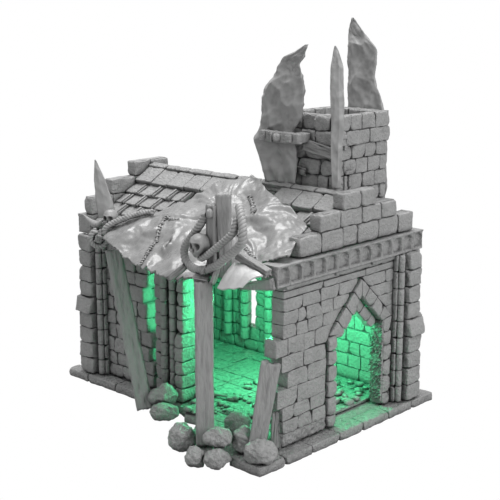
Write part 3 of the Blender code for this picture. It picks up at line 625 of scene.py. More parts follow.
def build_door():
    hood = Heap()
    for side in (-1, 1):
        arch_side(hood, side, (27.6, HOOD_SPRING), HOOD_APEX - 0.5, 7.0, (-7.5, 1.4), 4, 40 + side)
        cuts = (FOOT_Z, 12.2, 22.5, 31.5, 40.4, 48.6, 57.0)
        for i, (z0, z1) in enumerate(zip(cuts, cuts[1:])):
            ends, seed = sorted((side * 20.6, side * 27.6)), 50 + i + side * 7
            rough = 0.45 if side < 0 else 0.7
            stone(hood, RIGHT_FACE, ends, (z0 + 0.15, z1 - 0.15), (-7.6, 1.3), seed, 0.8, rough, 0.5, 1.5)
    piece("door_hood_stonework", hood, STONE, "base", "door_hood")
    arch = Heap()
    for side in (-1, 1):
        arch_side(arch, side, (20.3, 54.0), 73.4, 6.0, (-7.5, -2.2), 3, 70 + side)
    piece("door_arch_stonework", arch, STONE, "base", "door_arch")
    jamb = Heap()
    inner = place_on((79.4, 20.9, 0), EAST, -NORTH)

    def broken(a, z):
        return 0.4 + 2.6 * np.abs(rough_cut(a * 1.6, z * 1.3))

    relief(jamb, inner, (0.2, 8.2), (8, 56), 0.4, broken, 0.4)
    piece("door_jamb_rubble", jamb, STONE, "base")


def build_left_wall():
    heap = Heap()
    runs = whole(FRONT_Y + 0.2, BACK_Y - 0.2)
    masonry(heap, LEFT_FACE, levels_between(FOOT_Z, WALL_TOP, 8.6), runs, WALL_T, 24, (9, 16), edge=0.8)
    piece("left_wall_stonework", heap, STONE, "base", "left_gable_wall")


def build_back_wall():
    heap = Heap()

    def beside(near):
        """Runs of stones that stop at the slit, whose far side is the same in both layers."""
        def runs(z0, z1):
            if z1 < 22 or z0 > 69:
                return [(INNER_X0, INNER_X1)]
            return [(INNER_X0, near), (-30.4, INNER_X1)]
        return runs

    levels = [FOOT_Z, 13.6, 21.6, 29.6, 37.8, 46, 54.2, 62.4, 70.4, 78.4, 86.2, WALL_HEAD]
    masonry(heap, BACK_FACE, levels, beside(-41.4), WALL_T / 2, 25, (9, 16), edge=0.8)
    inner_half = place_on((0, BACK_Y - WALL_T, 0), EAST, -NORTH)
    masonry(heap, inner_half, levels, beside(-36.6), WALL_T / 2, 27, (9, 16), 0.2, edge=0.6)
    for x in (-53.0, -38.0, -17.0):
        for i, (z0, z1) in enumerate(zip(levels[1:], levels[2:])):
            drum(heap, (x, 40.4), 3.0, z0 + 0.1, z1 - 0.1, int(x) + i)
    piece("back_wall_stonework", heap, STONE, "base", "back_wall")


def drum(heap, centre, radius, z0, z1, seed, sides=20):
    """One length of a round shaft, worn at its ends."""
    heights = [z0, z0 + 0.15, z0 + 0.7, (z0 * 2 + z1) / 3, (z0 + z1 * 2) / 3, z1 - 0.7, z1 - 0.15, z1]
    swell = [0.6, 0.86, 1.0, 1.03, 1.02, 1.0, 0.86, 0.6]
    rings = []
    for z, share in zip(heights, swell):
        for k in range(sides):
            c, s = math.cos(math.tau * k / sides), math.sin(math.tau * k / sides)
            r = radius * share * (1 + 0.1 * noise.noise((c * 1.5 + seed, s * 1.5, z * 0.3)))
            rings.append((centre[0] + r * c, centre[1] + r * s, z))
    heap.add(rings, tube_faces(len(heights), sides))


def build_front_stub():
    heap = Heap()
    steps = (
        (21, -27), (30, -30), (39, -28), (47, -32), (56, -32), (66, -35), (74, -31), (82, -31), (99, -34),
    )
    levels = [FOOT_Z, 13, 21, 30, 39, 47, 56, 66, 74, 82, 88, WALL_HEAD]

    def runs(z0, z1):
        end = next(x for top, x in steps if (z0 + z1) / 2 < top)
        return [(INNER_X0, end)]

    masonry(heap, FRONT_FACE, levels, runs, WALL_T, 26, (8, 14), 0.5, edge=0.7, rough=0.8, step=1.3)
    piece("front_stub_stonework", heap, STONE, "base", "front_wall_stub")


def corner_pier(name, node, origin, along, out, seed):
    heap = Heap()
    place = place_on(origin, along, out)
    levels = levels_between(FOOT_Z, WALL_TOP, 9.6)
    for i, (z0, z1) in enumerate(zip(levels, levels[1:])):
        reach = (7.6, 7.6) if i < 4 else (9.6, 7.2) if i == 4 else (6.3, 6.3)
        width = 11.9 if i < 5 else 10.9
        left = -2.0 if i == 4 else -0.4
        z = (z0 + 0.1, z1 - 0.1)
        stone(heap, place, (left, width), z, (0.1, *reach), seed + i, 0.8, 0.6, 0.5, 1.3)
        stone(heap, place, (10.6, 14.2), z, (0, 2.4), seed + 20 + i, 0.5, 0.35, 0.3, 1.3)
        stone(heap, place, (17.2, 18.9), z, (0, 2.9), seed + 40 + i, 0.5, 0.3, 0.3, 1.3)
        shaft = (origin + along * 15.8 + out * 3.7)[:2]
        drum(heap, shaft, 1.9, *z, seed + 60 + i, 16)
    piece(name, heap, STONE, "base", node)


def build_piers():
    corner_pier("front_left_pier_stonework", "pier_front_left", (-85.2, -50.2, 0), EAST, -NORTH, 100)
    corner_pier("back_left_pier_stonework", "pier_back_left", (-85.2, 50.2, 0), EAST, NORTH, 200)
    corner_pier("back_right_pier_stonework", "pier_back_right", (86.2, 50.2, 0), -EAST, NORTH, 300)
    corner_pier("right_back_pier_stonework", "pier_right_back", (87.2, 47.8, 0), -NORTH, EAST, 400)
    heap = Heap()
    levels = levels_between(FOOT_Z, WALL_HEAD, 8.4)
    for i, (z0, z1) in enumerate(zip(levels, levels[1:])):
        z = (z0 + 0.08, z1 - 0.08)
        stone(heap, FRONT_FACE, (-24, -3), z, (-8, -0.9), 500 + i, 0.7, 0.8, 0.4, 1.3)
        stone(heap, FRONT_FACE, (-23.9, -18.6), z, (-2, 0.3), 520 + i, 0.5, 0.5, 0.4, 1.3)
        low = z1 < 50
        nose = (-3.4, 3.1) if low else (-2.8, 2.4)
        reach = 4.7 if low else 3.0
        stone(heap, FRONT_FACE, nose, z, (-8, reach), 540 + i, 0.8, 0.7, 0.6, 1.2)
        for x in (-14.6, -7.0):
            drum(heap, (x, -51.5), 2.2, z0 + 0.06, z1 - 0.06, 560 + i + int(x), 16)
    piece("front_pier_stonework", heap, STONE, "base", "front_pier")


# ---------------------------------------------------------------- friezes and gables


def niche_height(y0, y1, count, foot, spring, half):
    """A blind arcade: arched niches between plain piers, under a narrow cornice."""
    pitch = (y1 - y0) / count

    def height(a, z):
        local = (a - y0) % pitch - pitch / 2
        top = spring + np.sqrt(np.maximum(0, half**2 - local**2)) * 0.65
        inside = np.minimum(np.minimum(half - np.abs(local), top - z), z - foot)
        dip = -1.9 * np.clip(inside / 0.5 + 0.5, 0, 1)
        joint = -0.35 * np.clip(1 - np.abs(np.abs(local) - pitch / 2) / 0.3, 0, 1)
        cornice = 0.5 * (z > FRIEZE_TOP - 1.2)
        keys = np.stack((a, z, local * 0), axis=1)
        return dip + joint + cornice - 0.1 + 0.3 * bumps(keys, 0.4, 31) + 0.15 * bumps(keys, 1.2, 32)

    return height


def build_frieze():
    heap = Heap()
    outer = place_on((90, 0, 0), NORTH, EAST)
    niches = niche_height(-70.8, 53, 13, 93.4, 99.2, 3.7)
    relief(heap, outer, (-70.8, 53), (92.05, FRIEZE_TOP), 11, niches, 0.4)
    piece("right_frieze_stonework", heap, STONE, "base", "right_frieze", crease=60)


def stepped_runs(z0, z1):
    mid = (z0 + z1) / 2
    half = 49 if mid < 114 else 33 if mid < 123 else 14
    low, high = RIDGE_Y - half, RIDGE_Y + half
    return [(low, high)]


def build_gables():
    right, left = Heap(), Heap()
    look = dict(proud=0.3, edge=0.9, rough=0.45, chips=0.5, step=1.6)
    levels = (103.3, 114.0, 123.0, 132.0)
    for i, lengths in enumerate(((13, 19), (14, 20), (12, 16))):
        masonry(right, RIGHT_FACE, levels[i : i + 2], stepped_runs, WALL_T, 33 + i, lengths, **look)
    piece("right_gable_stonework", right, STONE, "base", "right_gable_parapet")
    masonry(left, LEFT_FACE, levels, stepped_runs, WALL_T, 36, (13, 19), **look)
    niches = niche_height(-53, 53, 10, 93.3, 98.0, 3.7)
    band = place_on((-89, 0, 0), NORTH, -EAST)
    relief(left, band, (-53, 53), (92.05, FRIEZE_TOP + 0.2), 11, niches, 0.6)
    piece("left_gable_stonework", left, STONE, "base", "left_gable_parapet", crease=60)


# ---------------------------------------------------------------- roof


STRETCH = math.hypot(1, SLOPE)
TILES_START, TILE_PITCH, EAVES = 14.9, 8.6, 49.0  # level distances from the ridge


def slope_place(side):
    """Across the roof: along is +X, up is down the slope, out is square to it."""
    down = np.array((0, side, -SLOPE)) / STRETCH
    out = np.array((0, side * SLOPE, 1)) / STRETCH
    return (np.array((0, RIDGE_Y, RIDGE_Z)), EAST, out, down)


def slab_course(name, node, x0, x1, side, seed):
    heap = Heap()
    dice = random.Random(seed)
    place = slope_place(side)
    x = x0
    while x < x1 - 4:
        end = min(x1, x + dice.uniform(13, 16))
        if x1 - end < 5:
            end = x1
        run = (2.7 * STRETCH, (14.5 + dice.uniform(-0.5, 0.4)) * STRETCH)
        lift = dice.uniform(0.2, 0.8)
        n = (-3.0, lift, lift + 0.3)
        stone(heap, place, (x + 0.1, end - 0.1), run, n, dice.randrange(9999), 0.5, 0.3, 0.5, 1.3)
        x = end
    piece(name, heap, STONE, "roof", node)


def tile_courses(name, node, x0, x1, side, courses, seed):
    heap = Heap()
    dice = random.Random(seed)
    place = slope_place(side)
    for number in range(courses):
        start = (TILES_START + TILE_PITCH * number) * STRETCH
        end = min(start + TILE_PITCH * STRETCH, EAVES * STRETCH)
        x = x0 - 4.0 * (number % 2)
        while x < x1 - 1:
            wide = dice.uniform(12.0, 14.0)
            low, high = max(x, x0), min(x + wide, x1)
            if high - low > 1.2:
                lift = -0.5 + dice.uniform(-0.15, 0.3)
                run, n = (start - 1.6, end + dice.uniform(-0.5, 0.3)), (-3.3, lift - 1.6, lift)
                stone(heap, place, (low + 0.1, high - 0.1), run, n, dice.randrange(9999), 0.4, 0.3, 0.35, 1.4)
            rib = high - 1.2
            if rib - low > 2:
                run, n = (start + 0.4, end + 0.8), (-2, -0.3, 0.9)
                stone(heap, place, (rib - 1.9, rib - 0.5), run, n, dice.randrange(9999), 0.35, 0.1, 0.2, 1.4)
                run, n = (start + 0.8, end + 0.4), (-2, -0.6, 0.55)
                stone(heap, place, (rib + 0.35, rib + 1.1), run, n, dice.randrange(9999), 0.3, 0.1, 0.2, 1.4)
            x += wide
    piece(name, heap, STONE, "roof", node)


def build_roof():
    left, right = INNER_X0 + 0.3, INNER_X1 - 0.3
    slab_course("front_left_slabs", "ridge_slabs_front_left", left, -5.0, -1, 61)
    slab_course("front_right_slabs", "ridge_slabs_front_right", 34.0, right, -1, 62)
    slab_course("back_slabs", "ridge_slabs_back", left, TOWER_X, 1, 63)
    tile_courses("front_left_tiles", "tiles_front_left", left, -26.0, -1, 4, 64)
    tile_courses("front_right_tiles", "tiles_front_right", 56.0, right, -1, 2, 65)
    tile_courses("back_tiles", "tiles_back", left, TOWER_X, 1, 4, 66)
    joints = (left, -42.0, 16.0, right)
    for number, (x0, x1) in enumerate(zip(joints, joints[1:]), 1):
        heap = Heap()
        dice = random.Random(90 + number)
        cuts = joints_between(dice, x0, x1, round((x1 - x0) / 19), 0.2)
        for a, b in zip(cuts, cuts[1:]):
            for side in (-1, 1):
                place, n, seed = slope_place(side), (-5.0, 1.3, 1.6), dice.randrange(9999)
                stone(heap, place, (a + 0.1, b - 0.1), (-0.5, 3.1), n, seed, 0.7, 0.5, 0.4, 1.2)
        piece(f"ridge_stones_{number}", heap, STONE, "roof", f"ridge_cap_{number}")
    deck = Heap()
    for side in (-1, 1):
        place = slope_place(side)
        x = INNER_X0 + 0.3
        dice = random.Random(70 + side)
        while x < INNER_X1 - 1:
            wide = min(dice.uniform(7, 10), INNER_X1 - 0.3 - x)
            run = (0.2 if side > 0 else 1.8, EAVES * STRETCH - dice.uniform(0, 0.6))
            seed = dice.randrange(9999)
            stone(deck, place, (x + 0.15, x + wide - 0.15), run, (-6.4, -3.7), seed, 0.4, 0.2, 0.2, 2.6)
            x += wide
        slab(deck, place, (INNER_X0 + 0.6, INNER_X1 - 0.6), (44 * STRETCH, 48.4 * STRETCH), (-8.2, -6.2))
    piece("roof_boards", deck, TIMBER, "roof", "roof_deck")


# ---------------------------------------------------------------- timbers


def build_timbers():
    def single(name, node, foot, head, width, depth, body="base", **more):
        heap = Heap()
        beam(heap, foot, head, width, depth, **more)
        piece(name, heap, TIMBER, body, node)

    upright = dict(turn=TURN)
    ends = ((-12.9, -68.8, 2.0), (-38.0, -68.6, 91.5))
    single("leaning_timber", "leaning_post", *ends, 9.3, 7.4, seed=11, **upright)
    ends = ((55, -87.6, 5.8), (55, -87.6, 93.3))
    single("centre_timber", "centre_post", *ends, 7.0, 9.4, seed=12, **upright)
    torn = dict(turn=43, taper=1.18, jag=1.6)
    single("prop_plank", "short_prop", (83.6, -80.2, 6.4), (84.6, -69.0, 52.4), 8.6, 4.0, seed=13, **torn)
    single("prop_wedge", "prop_offcut", (85.9, -67.4, 5.8), (85.7, -67.2, 25.4), 5.0, 2.6, seed=14, taper=0.7)
    ends = ((89.2, -73.4, 94.8), (70.8, -77.6, 91.2))
    single("lintel_board", "lintel_plank", *ends, 2.6, 6.4, seed=15, taper=0.55)
    ends = ((68.2, -76.2, 106.6), (88.3, -75.6, 100.2))
    single("fallen_timber", "fallen_beam", *ends, 4.4, 4.6, seed=32, body="roof")
    ends = ((42.0, -87.6, 98.6), (34.2, -91.5, 91.2))
    single("broken_timber", "broken_purlin", *ends, 4.0, 3.4, turn=10, seed=33, body="roof")
    mast = Heap()
    beam(mast, (56.6, -81.8, 95.0), (56.4, -82.0, 131.6), 5.8, 5.8, seed=41, taper=1.05, grain=0.6, **upright)
    beam(mast, (61.0, -78.2, 95.0), (60.0, -78.0, 136.8), 6.0, 6.0, seed=42, taper=1.3, grain=0.6, **upright)
    pebble(mast, (57.4, -85.0, 127.6), (2.3, 1.7, 2.4), 43, 3, 0.1)
    piece("mast_timbers", mast, TIMBER, "roof", "lashed_mast")
    boards = Heap()
    beam(boards, (51.0, -90.2, 95.3), (58.0, -86.6, 94.4), 5.0, 2.2, turn=20, seed=44)
    beam(boards, (61.6, -88.0, 92.6), (63.4, -85.4, 101.2), 4.4, 1.8, seed=45, taper=0.8, **upright)
    beam(boards, (56.4, -90.0, 97.2), (58.2, -88.4, 101.8), 3.2, 1.6, seed=46, taper=0.7, **upright)
    piece("lashing_wedges", boards, TIMBER, "roof")


# ---------------------------------------------------------------- rubble and remains


def refined(node, levels, scale, rough, seed):
    """A CAD solid's mesh, subdivided and worn."""
    source = bpy.data.objects.new("refine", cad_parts[node].data.copy())
    bpy.context.scene.collection.objects.link(source)
    weld = source.modifiers.new("weld", "WELD")
    weld.merge_threshold = 0.00001
    smooth = source.modifiers.new("smooth", "SUBSURF")
    smooth.levels = levels
    graph = bpy.context.evaluated_depsgraph_get()
    mesh = bpy.data.meshes.new_from_object(source.evaluated_get(graph))
    p = np.array([v.co for v in mesh.vertices]) / MM
    normal = np.array([v.normal for v in mesh.vertices])
    facets = np.array([noise.voronoi(Vector(q * scale))[0][0] for q in p])
    lumps = bumps(p, scale, seed) + 0.5 * bumps(p, scale * 3, seed + 1)
    push = rough * (lumps - 0.8 * (0.6 - facets))
    faces = [list(f.vertices) for f in mesh.polygons]
    bpy.data.objects.remove(source)
    p = p + normal * push[:, None]
    low, high = (np.array(corner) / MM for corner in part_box(node))
    share = (p - p.min(axis=0)) / (p.max(axis=0) - p.min(axis=0))
    return low - 1.1 + share * (high - low + 2.2), faces


def build_boulders():
    for number in range(1, 10):
        heap = Heap()
        points, faces = refined(f"boulder_{number}", 3, 0.21, 1.1, number * 5)
        points[:, 2] = np.maximum(points[:, 2], 0.05)
        heap.add(points, faces)
        piece(f"fallen_stone_{number}", heap, STONE, "base", f"boulder_{number}")


def bone(heap, start, end, radius, seed=0):
    start, end = np.array(start, float), np.array(end, float)
    shares = np.array((0, 0.05, 0.12, 0.25, 0.5, 0.75, 0.88, 0.95, 1))
    swell = np.array((0.5, 1.5, 1.35, 0.8, 0.66, 0.8, 1.35, 1.5, 0.5))
    line = start + np.outer(shares, end - start)
    fine = curve(np.column_stack((line, swell)), 30)
    sweep(heap, fine[:, :3], fine[:, 3] * radius, 12, seed=seed, rough=0.12)


def build_remains():
    heap = Heap()
    bone(heap, (10, -38, 8.4), (27, -33, 8.6), 1.15, 1)
    piece("long_bone", heap, BONE, "base", "floor_bone")
    small = Heap()
    bone(small, (4.5, -44, 8.0), (11.5, -39.5, 9.6), 1.0, 2)
    for k in range(4):
        bone(small, (4 + k * 0.2, -44.5 + k * 0.9, 7.6), (1.2, -46.5 + k * 1.5, 7.3), 0.45, 3 + k)
    for k in range(5):
        rise = np.sin(np.linspace(0.1, 2.6, 7))
        arc = [(40 + k * 2.4, -52 - 4 * r + k * 0.6, 7.2 + 2.2 * r) for r in rise]
        sweep(small, curve(arc, 16), 0.42, 8)
    bone(small, (38, -49, 7.6), (52, -46, 7.8), 0.6, 9)
    piece("scattered_bones", small, BONE, "base")


def skull_mesh(heap, centre, size, turn, seed):
    """A generic skull: round cranium, deep sockets, nose hollow, cheekbones and a toothed jaw."""
    p, faces = ball(5)
    x, y, z = p.T

    def spot(at_x, wide, at_z, high, power=1.0):
        """One at a place on the face, and falling to nothing round it."""
        return np.exp(-((((x - at_x) / wide) ** 2 + ((z - at_z) / high) ** 2) ** power))

    front = np.clip(-y, 0, 1)
    low = np.clip(-z - 0.1, 0, 1)
    width = 0.80 - 0.42 * low * front**0.3 - 0.15 * low
    depth = np.where(y > 0, 1.0 - 0.5 * low, 0.86)
    height = np.where(z > 0, 0.86, 1.0 + 0.36 * front)
    q = np.stack((x * width, y * depth, z * height), axis=1)
    for sx in (-1, 1):
        q[:, 1] += 0.5 * spot(sx * 0.37, 0.25, 0.0, 0.23, 1.6) * (y < 0)
        q[:, 1] -= 0.09 * spot(sx * 0.36, 0.28, 0.27, 0.09) * (y < 0)
        cheek = spot(sx * 0.52, 0.14, -0.3, 0.1) * (y < 0.2)
        q[:, 1] -= 0.1 * cheek
        q[:, 0] += sx * 0.1 * (cheek - spot(sx * 0.62, 0.2, -0.62, 0.14))
    q[:, 1] += 0.26 * spot(0, 0.1 + 0.1 * np.clip(-z, 0, 1), -0.28, 0.13, 1.5) * (y < 0)
    mouth = np.exp(-(((z + 0.66) / 0.035) ** 2)) * (y < 0) * np.exp(-((x / 0.34) ** 4))
    teeth = np.abs(np.sin(x * 24)) ** 0.6 * np.exp(-(((z + 0.66) / 0.13) ** 2)) * (y < -0.2)
    q[:, 1] += 0.13 * mouth - 0.03 * teeth
    q += q * 0.02 * bumps(q, 5, seed)[:, None]
    spin = np.array(Matrix.Rotation(math.radians(turn), 3, "Z"))
    q += q * 0.05 * bumps(q, 2.2, seed + 3)[:, None]
    heap.add(q * size / 2 @ spin.T + np.array(centre, float), faces)


def angular(stations, count):
    """Points between the stations, mostly straight, with a little rounding at each."""
    given = np.array(stations, float)
    t = np.linspace(0, len(given) - 1, count)
    straight = np.stack([np.interp(t, range(len(given)), given[:, k]) for k in range(given.shape[1])], axis=1)
    return 0.6 * straight + 0.4 * curve(stations, count)


def scars_at(keys):
    """How far each point lies from the middle of the nearest cell of a pattern of flakes."""
    return np.array([noise.voronoi(Vector(key))[0][0] for key in keys])


def blade(heap, stations, flat, turn, ridge, scallop, seed, rings=70, sides=56):
    """A knapped flint blade: a tent-shaped front with a ridge, a flat back and conchoidal scars."""
    spin = np.array(Matrix.Rotation(math.radians(turn), 3, "Z"))
    local, centre, shares_across = [], [], []
    for i, (x, y, z, half) in enumerate(angular(stations, rings)):
        nick = 1 + 0.07 * noise.noise((z * 0.11, seed, 0)) + 0.035 * noise.noise((z * 0.45, seed, 5))
        peak = ridge(i / (rings - 1))
        for k in range(sides):
            t = 2 * k / sides
            if t < 1:
                tent = t / peak if t < peak else (1 - t) / (1 - peak)
                thick = -0.12 - 0.88 * tent**0.85
            else:
                t = 2 - t
                thick = 0.12 + 0.55 * math.sin(math.pi * t)
            local.append((-half * nick + 2 * half * nick * t, flat * half * thick, z))
            centre.append((x, y, z))
            shares_across.append(t)
    local, t = np.array(local), np.array(shares_across)
    keys = local * 0.11
    scars = scars_at(keys * (1, 2, 0.8) + (seed, seed, 0))
    fine_scars = scars_at(keys * (2.7, 3, 2.4) + (seed, 0, 0))
    edge_fade = np.clip(4 * t * (1 - t), 0, 1)
    dent = scallop * (2.6 * (0.34 - scars**2) * edge_fade + 0.6 * (0.3 - fine_scars**2))
    local[:, 1] -= np.sign(local[:, 1]) * dent * 1.4
    heap.add((local * (1, 1, 0)) @ spin.T + centre, tube_faces(rings, sides))


# ---------------------------------------------------------------- canopy


TOP_EDGE = (
    (-43, -62, 103.5), (-36, -53.5, 107.5), (-24, -47, 111), (-14, -35, 117), (-8, -22, 124.5), (2, -12, 130),
    (12, -9, 132), (21, -10, 131.6), (34, -18, 127.6), (48, -24, 124), (64, -28, 119.6), (77.4, -34, 114.6),
)
LOW_EDGE = (
    (-41, -71, 97), (-29, -76, 95.5), (-12, -82, 93), (6, -87, 91.8), (22, -89, 91), (36, -88, 89.5),
    (48, -79, 92), (56, -73.4, 95.5), (65, -70, 99), (73, -68.4, 101.4), (80, -66, 104.4), (87.6, -60, 104.6),
)
MAST_HEAD = np.array((58.6, -79.8, 134.0))
CORNER_ACROSS = np.array(OPEN_CORNER)
CORNER_UP = np.array((-0.154, 0.164, 0.974))
FOLD_REACH = 26.0


def canopy_base(u, w):
    """Points of the unwrinkled sheet at shares u along it and w down it."""
    dense = 400
    top, low = curve(TOP_EDGE, dense + 1), curve(LOW_EDGE, dense + 1)
    at = np.clip(u, 0, 1) * dense
    i = np.clip(at.astype(int), 0, dense - 1)
    f = (at - i)[:, None]
    upper = top[i] * (1 - f) + top[i + 1] * f
    lower = low[i] * (1 - f) + low[i + 1] * f
    w = w[:, None]
    points = upper * (1 - w) + lower * w
    points[:, 2] += 2.2 * np.sin(np.pi * np.clip(w[:, 0], 0, 1))
    return points


def canopy_push(p):
    """How far the hide stands off its base: folds that fan out from the mast head, and fine creases."""
    off = p - MAST_HEAD
    across, up = off @ CORNER_ACROSS, off @ CORNER_UP
    reach = np.hypot(across, up)
    angle = np.arctan2(up, across)
    warp = 0.25 * bumps(p, 0.06, 12)
    folds = np.zeros(len(p))
    for size, rate in ((5.0, 1.2), (3.0, 2.7), (0.9, 5.6)):
        keys = np.stack(((angle + warp) * rate, reach * 0.012 * rate, np.zeros(len(p))), axis=1)
        folds += size * (0.5 - 2 * np.abs(bumps(keys, 1.0, 3)))
    fade = np.clip(reach / FOLD_REACH, 0.1, 1)
    return folds * fade + 2.0 * bumps(p, 0.09, 6) + 0.35 * bumps(p, 0.35, 7) - 1.2


def canopy_surface(u, w):
    """Points of the wrinkled sheet, and which way it faces there."""
    p = canopy_base(u, w)
    step = 0.004
    du = canopy_base(u + step, w) - canopy_base(u - step, w)
    dw = canopy_base(u, w + step) - canopy_base(u, w - step)
    normal = np.cross(dw, du)
    normal /= np.maximum(np.linalg.norm(normal, axis=1)[:, None], 1e-9)
    normal *= np.sign(normal[:, 2:3] + 1e-9)
    return p + normal * canopy_push(p)[:, None], normal


TEARS = ((0.345, 0.71, 0.009, 0.05), (0.715, 0.40, 0.014, 0.05))
SEAMS = (
    ((0.265, 0.33), (0.272, 0.55), (0.275, 0.78), (0.28, 1.0)),
    ((0.265, 0.33), (0.30, 0.42), (0.335, 0.44)),
    ((0.60, 0.20), (0.66, 0.31), (0.70, 0.40)),
    ((0.635, 0.60), (0.68, 0.73), (0.74, 0.85), (0.80, 0.94)),
)


def build_canopy():
    nu, nw = 260, 84
    u, w = unit_grid(nu, nw)
    ragged = np.array([noise.noise((a * 30, 4.0, 0)) + 0.6 * noise.noise((a * 90, 7.0, 0)) for a in u])
    w_real = w + np.clip((w - 0.8) / 0.2, 0, 1) * ragged * 0.05
    points, normal = canopy_surface(u, w_real)
    for cu, cw, ru, rw in TEARS:
        spread = ((u - cu) / ru) ** 2 + ((w - cw) / rw) ** 2
        wobble = np.array([noise.noise((a * 70, b * 20, 2)) for a, b in zip(u, w)])
        lip = 0.9 * np.exp(-((np.sqrt(spread) - 1.4) / 0.45) ** 2)
        pit = -3.4 * np.exp(-((spread / (0.8 + 0.5 * wobble)) ** 2))
        points += normal * (lip + pit)[:, None]
    heap = Heap()
    heap.add(points, grid_faces(nu, nw))
    sheet = piece("hide_canopy", heap, HIDE, "roof", "hide_left", "hide_middle", "hide_right")
    thicken(sheet, 1.1)
    threads = Heap()
    for seam in SEAMS:
        fine = curve(seam, 60)
        line, out = canopy_surface(fine[:, 0], fine[:, 1])
        sweep(threads, line + out * 0.75, 0.55, 8, seed=9, rough=0.3)
        count = int(length_of(line) / 1.9)
        tangent = np.gradient(line, axis=0)
        for k in range(count):
            i = int((k + 0.5) / count * 59)
            t = unit(tangent[i])
            cross = unit(np.cross(t, out[i]))
            lean = cross * 1.15 + t * (0.4 if k % 2 else -0.4)
            steps = ((-1, 0.4), (-0.5, 1.25), (0.5, 1.25), (1, 0.4))
            arc = [line[i] + lean * side + out[i] * rise for side, rise in steps]
            sweep(threads, curve(arc, 9), 0.42, 8)
    piece("hide_stitches", threads, ROPE, "roof")
    flap = Heap()
    corners = np.array([(66.4, -89.2, 91.6), (80.8, -86.6, 93.6), (87.4, -78.8, 99.2), (66.2, -76.8, 102.6)])
    n = 36
    s, t = unit_grid(n, n)
    low = np.outer(1 - s, corners[0]) + np.outer(s, corners[1])
    high = np.outer(1 - s, corners[3]) + np.outer(s, corners[2])
    p = low * (1 - t)[:, None] + high * t[:, None]
    p[:, 2] += 1.6 * np.sin(np.pi * t) + 0.9 * bumps(np.stack((s * 5, t * 0.8, s * 0), axis=1), 1.0, 4)
    p[:, 2] += 1.6 * np.sin(np.pi * s) * t
    p[:, 1] -= 1.2 * np.sin(np.pi * s) * (1 - t)
    flap.add(p, grid_faces(n, n))
    # The flap gets the lighter hide copy, painted light for the light it catches.
    thicken(piece("hide_hanging_flap", flap, PAINTED_LIGHT_HIDE, "roof", "hide_flap"), 0.9)


def thicken(sheet, thick):
    skin = sheet.modifiers.new("thickness", "SOLIDIFY")
    skin.thickness = thick * MM
    skin.offset = 0


def build_dressing():
    skulls = (
        ("left_skull", "skull_left", (-49.6, -60.2, 107.4), 10.6, 22, 1),
        ("mast_skull", "skull_mast", (52.8, -88.0, 111.6), 12.8, 2, 2),
    )
    for name, node, centre, size, turn, seed in skulls:
        head = Heap()
        skull_mesh(head, centre, size, turn, seed)
        piece(name, head, BONE, "roof", node)
    stake = Heap()
    stations = [
        (-57.6, -56.0, 105.2, 5.2), (-59, -56.4, 114, 5.0), (-62.0, -57.2, 127, 3.4),
        (-65.4, -57.4, 139, 0.4),
    ]
    blade(stake, stations, 0.3, 43, lambda s: 0.6 - 0.2 * s, 0.5, 6, 44, 40)
    piece("flint_stake", stake, FLINT, "roof", "left_stake")
    tusk = Heap()
    bend = [(-51.5, -68.3, 103.4), (-55.4, -68.3, 104.2), (-60, -68.3, 105.8), (-64.5, -68.3, 108.2)]
    sweep(tusk, curve(bend, 30), 2.3 * (1 - np.linspace(0, 0.93, 30) ** 1.6), 16, seed=3, rough=0.1)
    piece("curved_tusk", tusk, BONE, "roof", "horn")
    log = Heap()
    beam(log, (-45.9, -72.4, 96.8), (-55.4, -62.2, 97.3), 4.6, 4.6, turn=20, seed=51)
    piece("lashed_log", log, TIMBER, "roof", "canopy_log")
    sling = [
        (53.6, -84, 126.5), (50, -85.5, 120), (44.5, -86, 113.5), (39.8, -86, 107.5), (41, -86.4, 101.4),
        (47.2, -87, 98.2), (55, -87.5, 98.8), (63.3, -87.5, 102), (70.5, -87, 107.6), (76.5, -86, 112.5),
        (80.4, -86, 117.8), (79.8, -85, 123), (76.5, -83, 129), (72.5, -80, 132.5),
    ]
    inner = [
        (53.8, -88.6, 104.6), (59, -88.4, 107.4), (65, -87.8, 112), (71, -87, 117), (74.6, -86, 121),
        (75.0, -84, 127),
    ]
    lashing = []
    log_end, coil_radius = np.array((-47.9, -70.2, 96.8)), 4.6
    across = np.array((math.cos(math.radians(43)), math.sin(math.radians(43)), 0))
    for angle in np.radians(-250 + 300 * np.arange(13) / 12):
        lashing.append(log_end + coil_radius * (across * math.cos(angle) + UP * math.sin(angle)))
    lashing += [
        (-44.4, -67.2, 103.4), (-40.6, -64.8, 106.2), (-34.2, -61.2, 109.4), (-27.0, -56.6, 112.2),
        (-20.0, -53.4, 113.4),
    ]
    ropes = (
        ("mast_sling_rope", sling, 2.15, "mast_rope"),
        ("mast_inner_rope", inner, 1.9),
        ("left_lashing_rope", lashing, 1.95, "left_rope"),
    )
    for name, path, radius, *node in ropes:
        strand = Heap()
        rope(strand, path, radius)
        piece(name, strand, ROPE, "roof", *node)


# ---------------------------------------------------------------- tower


